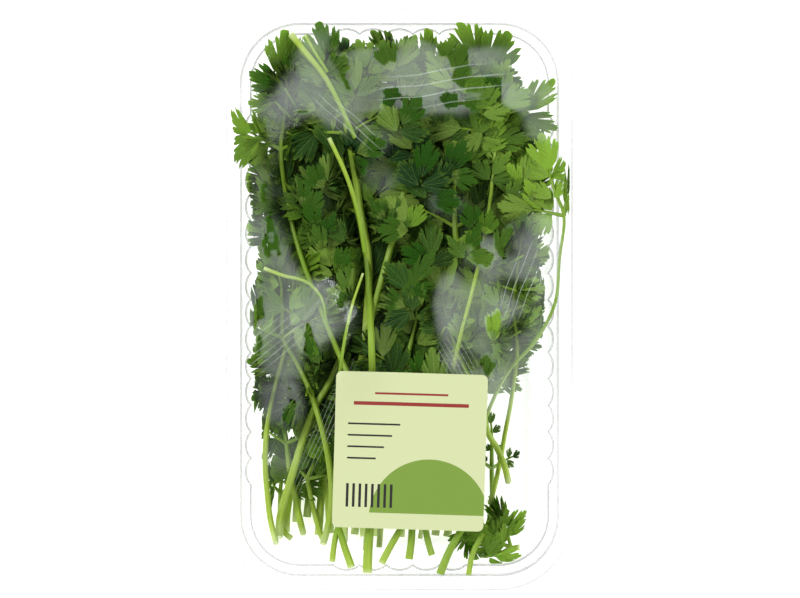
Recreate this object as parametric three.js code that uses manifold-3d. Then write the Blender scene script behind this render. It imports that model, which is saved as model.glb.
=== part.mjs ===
// A retail pack of flat-leaf parsley: three dozen cut fronds laid lengthways in a clear fluted
// tray, wrapped in clear stretch film with a paper label on top.
//
// Millimetres, +Z up. The origin is at the middle of the underside, +Y points to the leaf tips
// and -Y to the cut ends of the stalks.
//
// The fronds are laid one by one on a height map of the pile, as a packer lays them: each one
// drapes over what is already in the tray, so that no two of them meet.
import * as THREE from "three";
import Module from "manifold-3d";

const wasm = await Module();
wasm.setup();

// ---- Driving dimensions ----------------------------------------------------------------------

// The tray, a thermoformed shell. Its rim is the widest part.
const TRAY_WIDTH = 133.4;
const TRAY_LENGTH = 223.4;
const TRAY_DEPTH = 38;
const TRAY_CORNER = 28.5;
const TRAY_WALL = 0.8;
const FLANGE_WIDTH = 5.2;
const LEDGE_WIDTH = 1.7;
const LEDGE_DROP = 6;
const WALL_DRAFT = 7;
const FLUTE_PITCH = 10.2;
const FLUTE_DEPTH = 1.9;
const FLUTE_FOOT_DEPTH = 1.1;
const FLUTE_SHOULDER = 0.28;
const LONG_SIDE_FLUTES = 14;
const SHORT_SIDE_FLUTES = 5;
const CORNER_STEPS = 5;

// The film, drawn thicker than life so that it is a solid. The gap keeps touching pieces apart.
const FILM = 0.6;
const GAP = 0.35;
const FILM_HEM = 16;
const FILM_CLEARANCE = 0.4;
const FILM_EDGE = 2;
const FILM_MIDDLE = 8;
const FILM_SIDE_POINTS = [1, 5];
const FILM_RINGS = [0, 0.22, 0.44, 0.63, 0.8, 0.93, 1];
const FILM_PASSES = 400;

// The label.
const LABEL_WIDTH = 58;
const LABEL_LENGTH = 60;
const LABEL_THICKNESS = 0.6;
const LABEL_CENTRE = [4, -58];
const LABEL_TURN = -1.8;
const LABEL_STOPS = [-1, -0.91, -0.45, 0, 0.45, 0.91, 1];
const LABEL_CORNER = 0.974;

// The parsley.
const BLADE = 0.65;
const STALK_RADIUS = 1.6;
const FORK_RADIUS = 1.1;
const STALK_STEPS = 8;
const RACHIS_RADIUS = 0.95;
const RACHIS_LENGTH = 22;
const SIDE_BRANCH_RADIUS = 0.8;
const SIDE_BRANCH_LENGTH = 12;
const SIDE_BRANCH_ANGLE = 66;
const BRANCH_ROOT_RADIUS = 0.6;
const HAND_SIZE = 23;
const SIDE_HAND_SIZE = 21;
const HAND_ROOM = 3;
const WALL_WEIGHT = 3;
const TURNS = [0, -10, 10, -20, 20, -30, 30];
const LAID_FRONDS = 18;
const STALK_SPACING = 4.6;
const SEED = 20417;

// How the parsley lies: how far a leaf evens out what it lies on, how close to the wall it
// starts to turn up, the height that the top layer is held up at below the rim, and the stretch
// of the tray over which the stalks rise to it.
const SHEET_REACH = 4;
const WALL_MARGIN = 8;
const STALK_WALL_MARGIN = 3;
const WALL_CLEARANCE = 0.5;
const TURNED_UP = 0.4;
const LEAF_DROP = 18;
const STALK_END = -85;
const LEAF_START = -10;
const LIFT = 0.3;
const LIFT_PASSES = 5;
const TOUCH_VOLUME = 0.001;

// ---- Worked out from them --------------------------------------------------------------------

const TRAY_FOOT = FILM + GAP;
const FLOOR = TRAY_FOOT + TRAY_WALL;
const RIM = TRAY_FOOT + TRAY_DEPTH;
const LEDGE = RIM - LEDGE_DROP;
const BAND_INSET = FLANGE_WIDTH + 0.4;
const WALL_INSET = BAND_INSET + LEDGE_WIDTH + FLUTE_DEPTH;
const FOOT_INSET = WALL_INSET + WALL_DRAFT;
const LEAF_TOP = RIM - LEAF_DROP;

const radians = THREE.MathUtils.degToRad;
const mix = THREE.MathUtils.lerp;
const limit = THREE.MathUtils.clamp;
const UP = new THREE.Vector3(0, 0, 1);

// A seeded draw between two values, from a plain linear congruential generator.
let drawn = SEED;
function draw(low, high) {
  drawn = (drawn * 1664525 + 1013904223) % 4294967296;
  return mix(low, high, drawn / 4294967296);
}

// ---- Solids ----------------------------------------------------------------------------------

// A solid from points and triangles that share their corners.
function solidOf(points, triangles) {
  return new wasm.Manifold(
    new wasm.Mesh({
      numProp: 3,
      vertProperties: new Float32Array(points.flatMap((p) => [p.x, p.y, p.z])),
      triVerts: new Uint32Array(triangles.flat()),
    }),
  );
}

// The triangles that close a ring of points, counter-clockwise as seen from above.
function capOf(ring) {
  const flat = ring.map((p) => new THREE.Vector2(p.x, p.y));
  return THREE.ShapeUtils.triangulateShape(flat, []);
}

// A solid through a row of rings with the same number of points each. The rings run
// counter-clockwise as seen against the way they advance, and both ends are closed by the caps.
// From the ring at the turn on, the strips are split along their other diagonal, so that both
// skins of a shell that doubles back there are split alike.
function loft(rings, startCap, endCap, turn = rings.length) {
  const count = rings[0].length;
  const last = (rings.length - 1) * count;
  const triangles = startCap.map(([a, b, c]) => [a, c, b]);
  for (let r = 0; r < last; r += count) {
    for (let i = 0; i < count; i++) {
      const j = (i + 1) % count;
      const [a, b, c, d] = [r + i, r + j, r + count + j, r + count + i];
      triangles.push(...(r < turn * count ? [[a, b, c], [a, c, d]] : [[a, b, d], [b, c, d]]));
    }
  }
  triangles.push(...endCap.map((t) => t.map((i) => i + last)));
  return solidOf(rings.flat(), triangles);
}

function union(solids) {
  return wasm.Manifold.union(solids);
}

function meshOf(name, solid, material) {
  const { numProp, vertProperties, triVerts } = solid.getMesh();
  const positions = new Float32Array((vertProperties.length / numProp) * 3);
  for (let i = 0; i < positions.length / 3; i++) {
    positions.set(vertProperties.subarray(i * numProp, i * numProp + 3), i * 3);
  }
  const geometry = new THREE.BufferGeometry();
  geometry.setAttribute("position", new THREE.BufferAttribute(positions, 3));
  geometry.setIndex(new THREE.BufferAttribute(triVerts, 1));
  geometry.computeVertexNormals();
  const mesh = new THREE.Mesh(geometry, material);
  mesh.name = name;
  return mesh;
}

// ---- Outlines of the tray --------------------------------------------------------------------

// A rounded rectangle, inset from the tray's rim, counter-clockwise from above.
function plainOutline(inset, z, cornerSteps, sidePoints = [0, 0]) {
  const radius = Math.max(TRAY_CORNER - inset, 2);
  const x = TRAY_WIDTH / 2 - inset - radius;
  const y = TRAY_LENGTH / 2 - inset - radius;
  const corners = [
    [x, y, 0],
    [-x, y, 90],
    [-x, -y, 180],
    [x, -y, 270],
  ];
  const ring = [];
  corners.forEach(([cx, cy, from], k) => {
    for (let i = 0; i <= cornerSteps; i++) {
      const turn = radians(from + (90 * i) / cornerSteps);
      ring.push(
        new THREE.Vector3(cx + radius * Math.cos(turn), cy + radius * Math.sin(turn), z),
      );
    }
    const extra = sidePoints[k % 2];
    const [nx, ny, next] = corners[(k + 1) % 4];
    const a = ring[ring.length - 1];
    const b = new THREE.Vector3(
      nx + radius * Math.cos(radians(next)),
      ny + radius * Math.sin(radians(next)),
      z,
    );
    for (let i = 1; i <= extra; i++) ring.push(a.clone().lerp(b, i / (extra + 1)));
  });
  return ring;
}

// The same outline with flutes on its straight sides: a flute is a shallow arch that bulges
// outwards between two cusps.
function flutedOutline(inset, depth, z) {
  const ring = [];
  const plain = plainOutline(inset, z, CORNER_STEPS);
  const sides = [
    [new THREE.Vector2(-1, 0), new THREE.Vector2(0, 1), SHORT_SIDE_FLUTES],
    [new THREE.Vector2(0, -1), new THREE.Vector2(-1, 0), LONG_SIDE_FLUTES],
    [new THREE.Vector2(1, 0), new THREE.Vector2(0, -1), SHORT_SIDE_FLUTES],
    [new THREE.Vector2(0, 1), new THREE.Vector2(1, 0), LONG_SIDE_FLUTES],
  ];
  sides.forEach(([along, outward, flutes], k) => {
    ring.push(...plain.slice(k * (CORNER_STEPS + 1), (k + 1) * (CORNER_STEPS + 1)));
    const face = outward.x ? TRAY_WIDTH / 2 - inset : TRAY_LENGTH / 2 - inset;
    for (let i = 0; i <= flutes; i++) {
      const start = (i - flutes / 2) * FLUTE_PITCH;
      const stops = i < flutes ? [0, FLUTE_SHOULDER, 1 - FLUTE_SHOULDER] : [0];
      stops.forEach((share) => {
        const s = start + share * FLUTE_PITCH;
        const out = face + (share === 0 ? 0 : depth);
        ring.push(
          new THREE.Vector3(along.x * s + outward.x * out, along.y * s + outward.y * out, z),
        );
      });
    }
  });
  return ring;
}

function prism(ring, top) {
  const cap = capOf(ring);
  return loft([ring, ring.map((p) => p.clone().setZ(top))], cap, cap);
}

// ---- The tray --------------------------------------------------------------------------------

// What the tray fills if it were solid, less a skin of the given thickness all round.
function trayForm(skin, foot, top) {
  const ledge = LEDGE - TRAY_WALL + skin;
  const lower = flutedOutline(FOOT_INSET + skin, FLUTE_FOOT_DEPTH, foot);
  const upper = flutedOutline(WALL_INSET + skin, FLUTE_DEPTH, ledge);
  const well = loft([lower, upper], capOf(lower), capOf(upper));
  return union([well, prism(plainOutline(BAND_INSET + skin, ledge, CORNER_STEPS), top)]);
}

function traySolid() {
  const flange = prism(plainOutline(0, RIM - TRAY_WALL, CORNER_STEPS), RIM);
  const outside = union([trayForm(0, TRAY_FOOT, RIM), flange]);
  return outside.subtract(trayForm(TRAY_WALL, FLOOR, RIM + 1));
}

// Half the width, half the length and the corner radius that the tray leaves inside it at a height.
function insideAt(z) {
  const rise = limit((z - FLOOR) / (LEDGE - FLOOR), 0, 1);
  const inset = mix(FOOT_INSET, WALL_INSET, rise) + TRAY_WALL + WALL_CLEARANCE;
  return [TRAY_WIDTH / 2 - inset, TRAY_LENGTH / 2 - inset, TRAY_CORNER - inset];
}

// Moves a point that is near the tray's wall, or past it, inwards. The margin before the wall
// takes up all that would have gone past it. A frond over the rim gets further.
function keepInside(x, y, z, outset, margin) {
  const [halfX, halfY, corner] = insideAt(z).map((v) => v + outset);
  const radius = Math.max(corner, 6);
  const beyondX = Math.abs(x) - (halfX - radius);
  const beyondY = Math.abs(y) - (halfY - radius);
  const round = Math.hypot(Math.max(beyondX, 0), Math.max(beyondY, 0));
  const distance = round + Math.min(Math.max(beyondX, beyondY), 0) - radius;
  if (distance < -margin) return [x, y, 0];
  const move = distance + margin * Math.exp(-(distance + margin) / margin);
  const towardsX = round > 0 ? Math.max(beyondX, 0) / round : Number(beyondX > beyondY);
  const towardsY = round > 0 ? Math.max(beyondY, 0) / round : Number(beyondX <= beyondY);
  return [x - Math.sign(x) * towardsX * move, y - Math.sign(y) * towardsY * move, move];
}

// How far inside the tray's rim a point is, and less than nothing outside it.
function insetAt(x, y) {
  const cornerX = Math.abs(x) - (TRAY_WIDTH / 2 - TRAY_CORNER);
  const cornerY = Math.abs(y) - (TRAY_LENGTH / 2 - TRAY_CORNER);
  if (cornerX > 0 && cornerY > 0) return TRAY_CORNER - Math.hypot(cornerX, cornerY);
  return TRAY_CORNER - Math.max(cornerX, cornerY);
}

// ---- The height map --------------------------------------------------------------------------

const CELL = 1;
const COLUMNS = Math.ceil(TRAY_WIDTH / CELL) + 5;
const ROWS = Math.ceil(TRAY_LENGTH / CELL) + 5;

const columnOf = (x) => x / CELL + (COLUMNS - 1) / 2;
const rowOf = (y) => y / CELL + (ROWS - 1) / 2;
const xOf = (column) => (column - (COLUMNS - 1) / 2) * CELL;
const yOf = (row) => (row - (ROWS - 1) / 2) * CELL;

function highest(z, from, to, step) {
  let top = z[from];
  for (let k = from; k <= to; k += step) top = Math.max(top, z[k]);
  return top;
}

function mean(z, from, to, step) {
  let sum = 0;
  for (let k = from; k <= to; k += step) sum += z[k];
  return sum / ((to - from) / step + 1);
}

// Heights on a grid of square cells over the tray.
class HeightMap {
  constructor(heights) {
    this.z = heights;
  }

  // A map from a height for each place.
  static from(heightAt) {
    const heights = new Float64Array(COLUMNS * ROWS);
    heights.forEach((_, k) => {
      heights[k] = heightAt(xOf(k % COLUMNS), yOf(Math.floor(k / COLUMNS)));
    });
    return new HeightMap(heights);
  }

  // The height at a point, between the four cells round it.
  at(x, y) {
    const column = limit(columnOf(x), 0, COLUMNS - 1.001);
    const row = limit(rowOf(y), 0, ROWS - 1.001);
    const corner = Math.floor(row) * COLUMNS + Math.floor(column);
    const share = column % 1;
    const low = mix(this.z[corner], this.z[corner + 1], share);
    const high = mix(this.z[corner + COLUMNS], this.z[corner + COLUMNS + 1], share);
    return mix(low, high, row % 1);
  }

  // The higher of two maps, cell by cell.
  over(other) {
    return new HeightMap(this.z.map((height, k) => Math.max(height, other.z[k])));
  }

  // Gathers each cell from those up to reach away in its row, and then in its column.
  swept(reach, gather) {
    const rows = new Float64Array(this.z.length);
    const both = new Float64Array(this.z.length);
    this.z.forEach((_, k) => {
      const column = k % COLUMNS;
      const from = k - Math.min(column, reach);
      rows[k] = gather(this.z, from, k + Math.min(COLUMNS - 1 - column, reach), 1);
    });
    this.z.forEach((_, k) => {
      const row = Math.floor(k / COLUMNS);
      const from = k - Math.min(row, reach) * COLUMNS;
      both[k] = gather(rows, from, k + Math.min(ROWS - 1 - row, reach) * COLUMNS, COLUMNS);
    });
    return new HeightMap(both);
  }

  // A smooth sheet that lies on the map: the highest cell within spread, then smoothed over no
  // more than that, so that it is nowhere below the map.
  blanket(spread, smoothing) {
    return this.swept(spread, highest).swept(smoothing, mean);
  }

  // The height of one cell, and nothing outside the map.
  cell(column, row) {
    const inside = column >= 0 && row >= 0 && column < COLUMNS && row < ROWS;
    return inside ? this.z[row * COLUMNS + column] : 0;
  }

  raise(column, row, height) {
    if (column < 0 || row < 0 || column >= COLUMNS || row >= ROWS) return;
    const k = row * COLUMNS + column;
    this.z[k] = Math.max(this.z[k], height);
  }

  // Raises the map to the top of some triangles.
  coverTriangles(points, triangles) {
    triangles.forEach((t) => {
      const corners = t.map((k) => points[k]);
      cellsUnder(corners, (column, row, z) => this.raise(column, row, z + GAP));
    });
  }

  // Raises the map to the top of a stem.
  coverStem(points, radii) {
    cellsAlong(points, radii, (column, row, k, share, rise) => {
      this.raise(column, row, mix(points[k].z, points[k + 1].z, share) + rise + GAP);
    });
  }
}

// Calls visit for each cell whose middle is under the triangle, or less than a cell outside it,
// with the triangle's height there and each corner's share in that height.
function cellsUnder([a, b, c], visit) {
  const area = (b.x - a.x) * (c.y - a.y) - (c.x - a.x) * (b.y - a.y);
  if (Math.abs(area) < 1e-3) return;
  const slack = CELL / Math.sqrt(Math.abs(area));
  const columns = [a, b, c].map((p) => columnOf(p.x));
  const rows = [a, b, c].map((p) => rowOf(p.y));
  for (let row = Math.floor(Math.min(...rows)); row <= Math.max(...rows) + 1; row++) {
    for (let column = Math.floor(Math.min(...columns)); column <= Math.max(...columns) + 1; column++) {
      const [x, y] = [xOf(column) - a.x, yOf(row) - a.y];
      const s = (x * (c.y - a.y) - (c.x - a.x) * y) / area;
      const t = ((b.x - a.x) * y - x * (b.y - a.y)) / area;
      if (s < -slack || t < -slack || s + t > 1 + slack) continue;
      const [inS, inT] = [limit(s, 0, 1), limit(t, 0, 1)];
      const total = Math.max(inS + inT, 1);
      const shares = [1 - (inS + inT) / total, inS / total, inT / total];
      visit(column, row, a.z * shares[0] + b.z * shares[1] + c.z * shares[2], shares);
    }
  }
}

// Calls visit for each cell that a tube is over, with its segment, the share of the way along it
// and how far the tube's skin is above or below its middle line there.
function cellsAlong(points, radii, visit) {
  for (let k = 0; k < points.length - 1; k++) {
    const [a, b] = [points[k], points[k + 1]];
    const steps = Math.ceil(Math.hypot(b.x - a.x, b.y - a.y) / CELL) + 1;
    for (let step = 0; step <= steps; step++) {
      const share = step / steps;
      const radius = mix(radii[k], radii[k + 1], share);
      const [column, row] = [columnOf(mix(a.x, b.x, share)), rowOf(mix(a.y, b.y, share))];
      const reach = radius / CELL + 0.5;
      for (let i = Math.ceil(column - reach); i <= column + reach; i++) {
        for (let j = Math.ceil(row - reach); j <= row + reach; j++) {
          const off = Math.max(Math.hypot(i - column, j - row) * CELL - 0.5, 0);
          if (off < radius) visit(i, j, k, share, Math.sqrt(radius * radius - off * off));
        }
      }
    }
  }
}

// Lifts points until the triangles between them are nowhere below the map: each triangle is
// lifted at its lowest place, by its corners' shares in that place.
function liftOver(points, triangles, map) {
  for (let pass = 0; pass < LIFT_PASSES; pass++) {
    triangles.forEach((t) => {
      const corners = t.map((k) => points[k]);
      let short = 0;
      let lowest = [0, 0, 0];
      cellsUnder(corners, (column, row, z, shares) => {
        const missing = map.cell(column, row) - z;
        if (missing <= short) return;
        short = missing;
        lowest = shares;
      });
      if (short === 0) return;
      const scale = short / lowest.reduce((sum, share) => sum + share * share, 0);
      corners.forEach((p, k) => p.setZ(p.z + scale * lowest[k]));
    });
  }
}

// Lifts the points of a stem until it is nowhere below the map. Its last point is held, and so
// is its first unless it is a loose end.
function liftStem(points, radii, map, looseEnd) {
  for (let pass = 0; pass < LIFT_PASSES; pass++) {
    const short = points.map(() => 0);
    cellsAlong(points, radii, (column, row, k, share, rise) => {
      const under = mix(points[k].z, points[k + 1].z, share) - rise;
      const scale = (map.cell(column, row) - under) / (share ** 2 + (1 - share) ** 2);
      short[k] = Math.max(short[k], scale * (1 - share));
      short[k + 1] = Math.max(short[k + 1], scale * share);
    });
    points.slice(0, -1).forEach((p, k) => {
      if (k > 0 || looseEnd) p.setZ(p.z + short[k]);
    });
  }
}

// The corners of a stem's section, as [right, over] for a radius of 1, and the same four
// corners at the neck of a blade whose upper points come count after its lower ones.
const HALF_DIAGONAL = Math.SQRT1_2;
const CORNERS = [
  [-HALF_DIAGONAL, -HALF_DIAGONAL],
  [HALF_DIAGONAL, -HALF_DIAGONAL],
  [HALF_DIAGONAL, HALF_DIAGONAL],
  [-HALF_DIAGONAL, HALF_DIAGONAL],
];
const neckRing = (count) => [NECK_LEFT, NECK_RIGHT, NECK_RIGHT + count, NECK_LEFT + count];

// ---- The plan of a frond ---------------------------------------------------------------------

// One leaflet, a wedge with a middle and two side lobes, as [along, across] for a length of 1.
const LEAFLET = [
  [0.62, -0.29],
  [0.72, -0.15],
  [1, 0],
  [0.72, 0.15],
  [0.62, 0.29],
];
const SIDE_LEAFLET_ANGLE = 58;
const SIDE_LEAFLET_LENGTH = 0.84;
const NECK_LENGTH = 0.1;
const NECK_HALF_WIDTH = 0.05;
const CLEFT = 0.18;

// A hand of three leaflets, cut to the rib, in one blade. It gives the blade's points as
// [along, across, distance from the leaflet's rib], the outline through them, and the triangles
// that fan out from the hand's heart.
function handBlade() {
  const points = [
    [-NECK_LENGTH / 3, 0, 0],
    [-NECK_LENGTH, -NECK_HALF_WIDTH, 0],
  ];
  const outline = [1];
  const triangles = [];
  let entry = 1;
  [-SIDE_LEAFLET_ANGLE, 0, SIDE_LEAFLET_ANGLE].forEach((angle, k) => {
    const length = k === 1 ? 1 : SIDE_LEAFLET_LENGTH;
    const [c, s] = [length * Math.cos(radians(angle)), length * Math.sin(radians(angle))];
    const turned = ([u, v]) => [u * c - v * s, u * s + v * c, Math.abs(v) * length];
    const edge = LEAFLET.map((p) => points.push(turned(p)) - 1);
    const between = radians(angle + SIDE_LEAFLET_ANGLE / 2);
    const cleft = [CLEFT * Math.cos(between), CLEFT * Math.sin(between), NECK_HALF_WIDTH];
    const exit = points.push(k < 2 ? cleft : [-NECK_LENGTH, NECK_HALF_WIDTH, 0]) - 1;
    const rim = [entry, ...edge, exit];
    rim.slice(1).forEach((to, i) => triangles.push([0, rim[i], to]));
    outline.push(...edge, exit);
    entry = exit;
  });
  triangles.push([0, entry, 1]);
  return { points, outline, triangles };
}
const HAND = handBlade();
const NECK_LEFT = HAND.outline[0];
const NECK_RIGHT = HAND.outline[HAND.outline.length - 1];

// A hand: where it starts, which way it points in degrees from +Y towards +X, how long it is,
// and how its blade is bent.
function planHand([x, y], heading, size) {
  const crease = draw(-0.2, 0.35);
  const dish = draw(0, 0.09);
  const roll = draw(-0.14, 0.14);
  return { x, y, heading, size, crease, dish, roll };
}

// The heading of a branch that is turned away from the tray's wall where that pays: a millimetre
// that the middle of its hand is too near the wall weighs as much as a turn of WALL_WEIGHT degrees.
function clearHeading([x, y], wanted, reach, outset) {
  const [halfX, halfY] = insideAt(FLOOR).map((half) => half + outset - HAND_ROOM);
  const cost = (turn) => {
    const heading = radians(wanted + turn);
    const pastX = Math.abs(x + reach * Math.sin(heading)) - halfX;
    const pastY = Math.abs(y + reach * Math.cos(heading)) - halfY;
    return Math.max(pastX, pastY, 0) * WALL_WEIGHT + Math.abs(turn);
  };
  return wanted + TURNS.reduce((best, turn) => (cost(turn) < cost(best) ? turn : best));
}

// A frond: the plan of its stalk from the cut end to the fork, and its three branches. The
// middle one is the rachis. Each ends in a hand. The levels say how high the fronds below hold
// it up, at its leaves and at its cut end.
function planFrond({
  stalk,
  heading,
  size = 1,
  rachis = 1,
  level = 0,
  cutLevel = 0,
  overRim = false,
}) {
  const [forkX, forkY] = stalk[stalk.length - 1];
  const branches = [0, SIDE_BRANCH_ANGLE, -SIDE_BRANCH_ANGLE].map((angle) => {
    const middle = angle === 0;
    const wanted = heading + angle + draw(-9, 9);
    const length = (middle ? RACHIS_LENGTH * rachis : SIDE_BRANCH_LENGTH) * size * draw(0.9, 1.15);
    const reach = length + (size * HAND_SIZE) / 2;
    const turned = clearHeading([forkX, forkY], wanted, reach, overRim ? WALL_INSET : 0);
    const end = [
      forkX + length * Math.sin(radians(turned)),
      forkY + length * Math.cos(radians(turned)),
    ];
    const grown = (middle ? HAND_SIZE : SIDE_HAND_SIZE) * size * draw(0.88, 1.08);
    return { middle, end, hand: planHand(end, turned + draw(-12, 12), grown) };
  });
  return { stalk, branches, size, level, cutLevel, overRim };
}

// ---- A frond laid on the pile ----------------------------------------------------------------

// A place in plan, kept inside the tray and brought up to the sheet that the frond lies on. What
// the wall holds back turns up along it.
function laid(x, y, sheet, overRim, margin) {
  const outset = overRim ? WALL_INSET : 0;
  const z = overRim ? RIM : sheet.at(x, y);
  const [keptX, keptY, move] = keepInside(x, y, z, outset, margin);
  const height = sheet.at(keptX, keptY);
  const turnedUp = overRim ? 0 : limit(LEDGE - height, 0, TURNED_UP * move);
  return new THREE.Vector3(keptX, keptY, height + turnedUp);
}

// The blade of a hand, draped over the sheet and bent up from it.
function layBlade(hand, sheet, ground, overRim) {
  const [c, s] = [Math.cos(radians(hand.heading)), Math.sin(radians(hand.heading))];
  const bends = HAND.points.map(([along, across, off]) => {
    const bend = hand.crease * off + hand.dish * (along ** 2 + across ** 2) + hand.roll * across;
    return hand.size * bend;
  });
  const lowest = Math.min(...bends);
  const under = HAND.points.map(([along, across], k) => {
    const x = hand.x + hand.size * (along * s + across * c);
    const y = hand.y + hand.size * (along * c - across * s);
    const p = laid(x, y, sheet, overRim, WALL_MARGIN);
    return p.setZ(p.z + bends[k] - lowest);
  });
  liftOver(under, HAND.triangles.map(([a, b, d]) => [a, d, b]), ground);
  const over = under.map((p) => p.clone().setZ(p.z + BLADE));
  return { under, over };
}

// Both faces of a blade and the edge between them, but for the end of the neck.
function bladeTriangles(count) {
  const triangles = HAND.triangles.flatMap((t) => [t, t.map((k) => k + count).reverse()]);
  HAND.outline.slice(1).forEach((to, i) => {
    const from = HAND.outline[i];
    triangles.push([to, from, from + count], [to, from + count, to + count]);
  });
  return triangles;
}

// The middle line of a stalk, which ends level with the leaves round its fork.
function layStalk(plan, sheet, ground) {
  const points = plan.stalk.map(([x, y]) => new THREE.Vector3(x, y, 0));
  const path = new THREE.CatmullRomCurve3(points).getSpacedPoints(STALK_STEPS);
  return path.map((p, k) => {
    const share = THREE.MathUtils.smoothstep(k / STALK_STEPS, 0.6, 1);
    const low = laid(p.x, p.y, ground, plan.overRim, STALK_WALL_MARGIN);
    return low.setZ(mix(low.z + STALK_RADIUS, sheet.at(low.x, low.y) + FORK_RADIUS, share));
  });
}

// A frond laid on the ground map, as its stems. The first is the stalk with its rachis, and the
// others are the side branches. Each ends in the middle of the neck of its blade.
function layFrond(plan, ground) {
  const sheet = ground.blanket(SHEET_REACH, SHEET_REACH);
  const stalk = layStalk(plan, sheet, ground);
  const stalkRadii = stalk.map((_, k) => plan.size * mix(STALK_RADIUS, FORK_RADIUS, k / STALK_STEPS));
  const fork = stalk[STALK_STEPS];
  return plan.branches.map((branch) => {
    const blade = layBlade(branch.hand, sheet, ground, plan.overRim);
    const neck = blade.under[NECK_LEFT].clone().lerp(blade.over[NECK_RIGHT], 0.5);
    const points = [fork.clone().lerp(neck, 0.55), neck];
    const radii = [branch.middle ? RACHIS_RADIUS : SIDE_BRANCH_RADIUS, BLADE / 2];
    if (branch.middle) {
      points.unshift(...stalk);
      radii.unshift(...stalkRadii);
    } else {
      points.unshift(fork);
      radii.unshift(BRANCH_ROOT_RADIUS);
    }
    liftStem(points, radii, ground, branch.middle);
    return { points, radii, blade };
  });
}

// A square-sided stem that runs straight into the neck of its blade.
function stemSolid({ points, radii, blade }) {
  const solidPoints = [...blade.under, ...blade.over];
  const triangles = bladeTriangles(blade.under.length);
  let ring = neckRing(blade.under.length);
  for (let k = points.length - 2; k >= 0; k--) {
    const along = points[k + 1].clone().sub(points[Math.max(k - 1, 0)]).normalize();
    const across = along.clone().cross(UP).normalize();
    const rise = across.clone().cross(along);
    const before = CORNERS.map(([right, over]) => {
      const corner = points[k].clone().addScaledVector(across, right * radii[k]);
      return solidPoints.push(corner.addScaledVector(rise, over * radii[k])) - 1;
    });
    ring.forEach((_, i) => {
      const j = (i + 1) % ring.length;
      triangles.push([before[i], ring[i], ring[j]], [before[i], ring[j], before[j]]);
    });
    ring = before;
  }
  triangles.push([ring[0], ring[1], ring[2]], [ring[0], ring[2], ring[3]]);
  return solidOf(solidPoints, triangles);
}

// A frond's stems joined at the fork.
function frondSolid(stems) {
  const pieces = union(stems.map(stemSolid)).decompose();
  return pieces.reduce((most, piece) => (piece.volume() > most.volume() ? piece : most));
}

function liftFrond(stems, rise) {
  const parts = stems.flatMap(({ points, blade }) => [...points, ...blade.under, ...blade.over]);
  new Set(parts).forEach((p) => p.setZ(p.z + rise));
}

function meets(solid, others) {
  return others.some((other) => solid.intersect(other).volume() > TOUCH_VOLUME);
}

// ---- The fronds of the bunch -----------------------------------------------------------------

// Fronds under the top layer. Their forks are spread over the leafy end in columns and rows, and
// their stalks lie side by side at the cut ends, in the order of their forks.
function laidFronds() {
  const columns = [-27, 1, 28];
  const rows = [-20, 36, 8, 62];
  return Array.from({ length: LAID_FRONDS }, (_, k) => {
    const column = k % columns.length;
    const row = Math.floor(k / columns.length);
    const forkX = columns[column] + draw(-9, 9);
    const forkY = rows[k % rows.length] + draw(-9, 9);
    const slot = column * Math.ceil(LAID_FRONDS / columns.length) + row;
    const baseX = -46 + slot * STALK_SPACING + draw(-1, 1);
    const baseY = draw(-100, -84);
    const bow = draw(-3, 3);
    const stalk = [
      [baseX, baseY],
      [mix(baseX, forkX, 0.3) + bow, mix(baseY, forkY, 0.4)],
      [mix(baseX, forkX, 0.7) + bow, mix(baseY, forkY, 0.75)],
      [forkX, forkY],
    ];
    const level = (k + 0.5) / LAID_FRONDS;
    return planFrond({ stalk, heading: 0.5 * forkX + draw(-16, 16), level });
  });
}

// Short fronds that fill in round the stalks at the cut ends.
function shortFronds() {
  return [
    { stalk: [[-44, -97], [-47, -86], [-47, -76]], heading: 6, size: 0.75 },
    { stalk: [[-30, -96], [-34, -82], [-36, -70]], heading: 20, size: 0.75, level: 0.3 },
    { stalk: [[-38, -92], [-42, -72], [-44, -56]], heading: -4, size: 0.85, level: 0.6 },
    { stalk: [[30, -98], [36, -84], [36, -66]], heading: 4, size: 0.8, level: 0.4 },
  ].map(planFrond);
}

// The fronds of the top layer, each along its own line.
function topFronds() {
  return [
    {
      stalk: [[-50, -96], [-42.4, -70], [-38.1, -56.5], [-35, -46.2], [-26.6, -30.9], [-19, -11.7]],
      heading: 24,
    },
    { stalk: [[-50, -97], [-52, -78], [-51.2, -50], [-47.7, -30.9], [-42, -11.7]], heading: 6 },
    {
      stalk: [[35.5, -80], [38.9, -64.6], [41.2, -51.2], [44.7, -30.9], [45.8, -17], [44, -4]],
      heading: 2,
    },
    { stalk: [[42.4, -71], [38.9, -59.6], [34.9, -53.5], [30.9, -38.5], [22, -20]], heading: -14 },
    { stalk: [[-22, -95], [-20, -60], [-14, -20], [-2, 26], [6, 62]], heading: 12, overRim: true },
    { stalk: [[8, -94], [14, -60], [22, -20], [34, 30], [37, 64]], heading: -6, overRim: true },
    { stalk: [[-8, -97], [-8, -60], [-28, -10], [-42, 30], [-46, 58]], heading: -2, overRim: true },
    { stalk: [[0, -90], [2, -60], [4, -44], [2, -26]], heading: 4, size: 0.9 },
    {
      stalk: [[-30, -98.3], [-26.6, -78], [-28.3, -57.3], [-33.5, -38.5], [-38.1, -28.2], [-45, -14.8]],
      heading: -6,
    },
    {
      stalk: [[-12.8, -103], [-11.3, -65.4], [-10.5, -27], [-11.7, 0.2], [-13.4, 20.9], [-16.4, 34]],
      heading: -16,
      cutLevel: 0.7,
    },
    { stalk: [[-13, -14], [-12, 14], [-16, 40], [-20, 64]], heading: -10, overRim: true },
    {
      stalk: [[19.4, -90], [34.3, -42.4], [44.3, -24.7], [57.6, -8.6], [60.8, 13.2], [63, 32]],
      heading: -14,
      size: 0.85,
      overRim: true,
    },
  ].map((frond) => planFrond({ level: 1, ...frond }));
}

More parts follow.
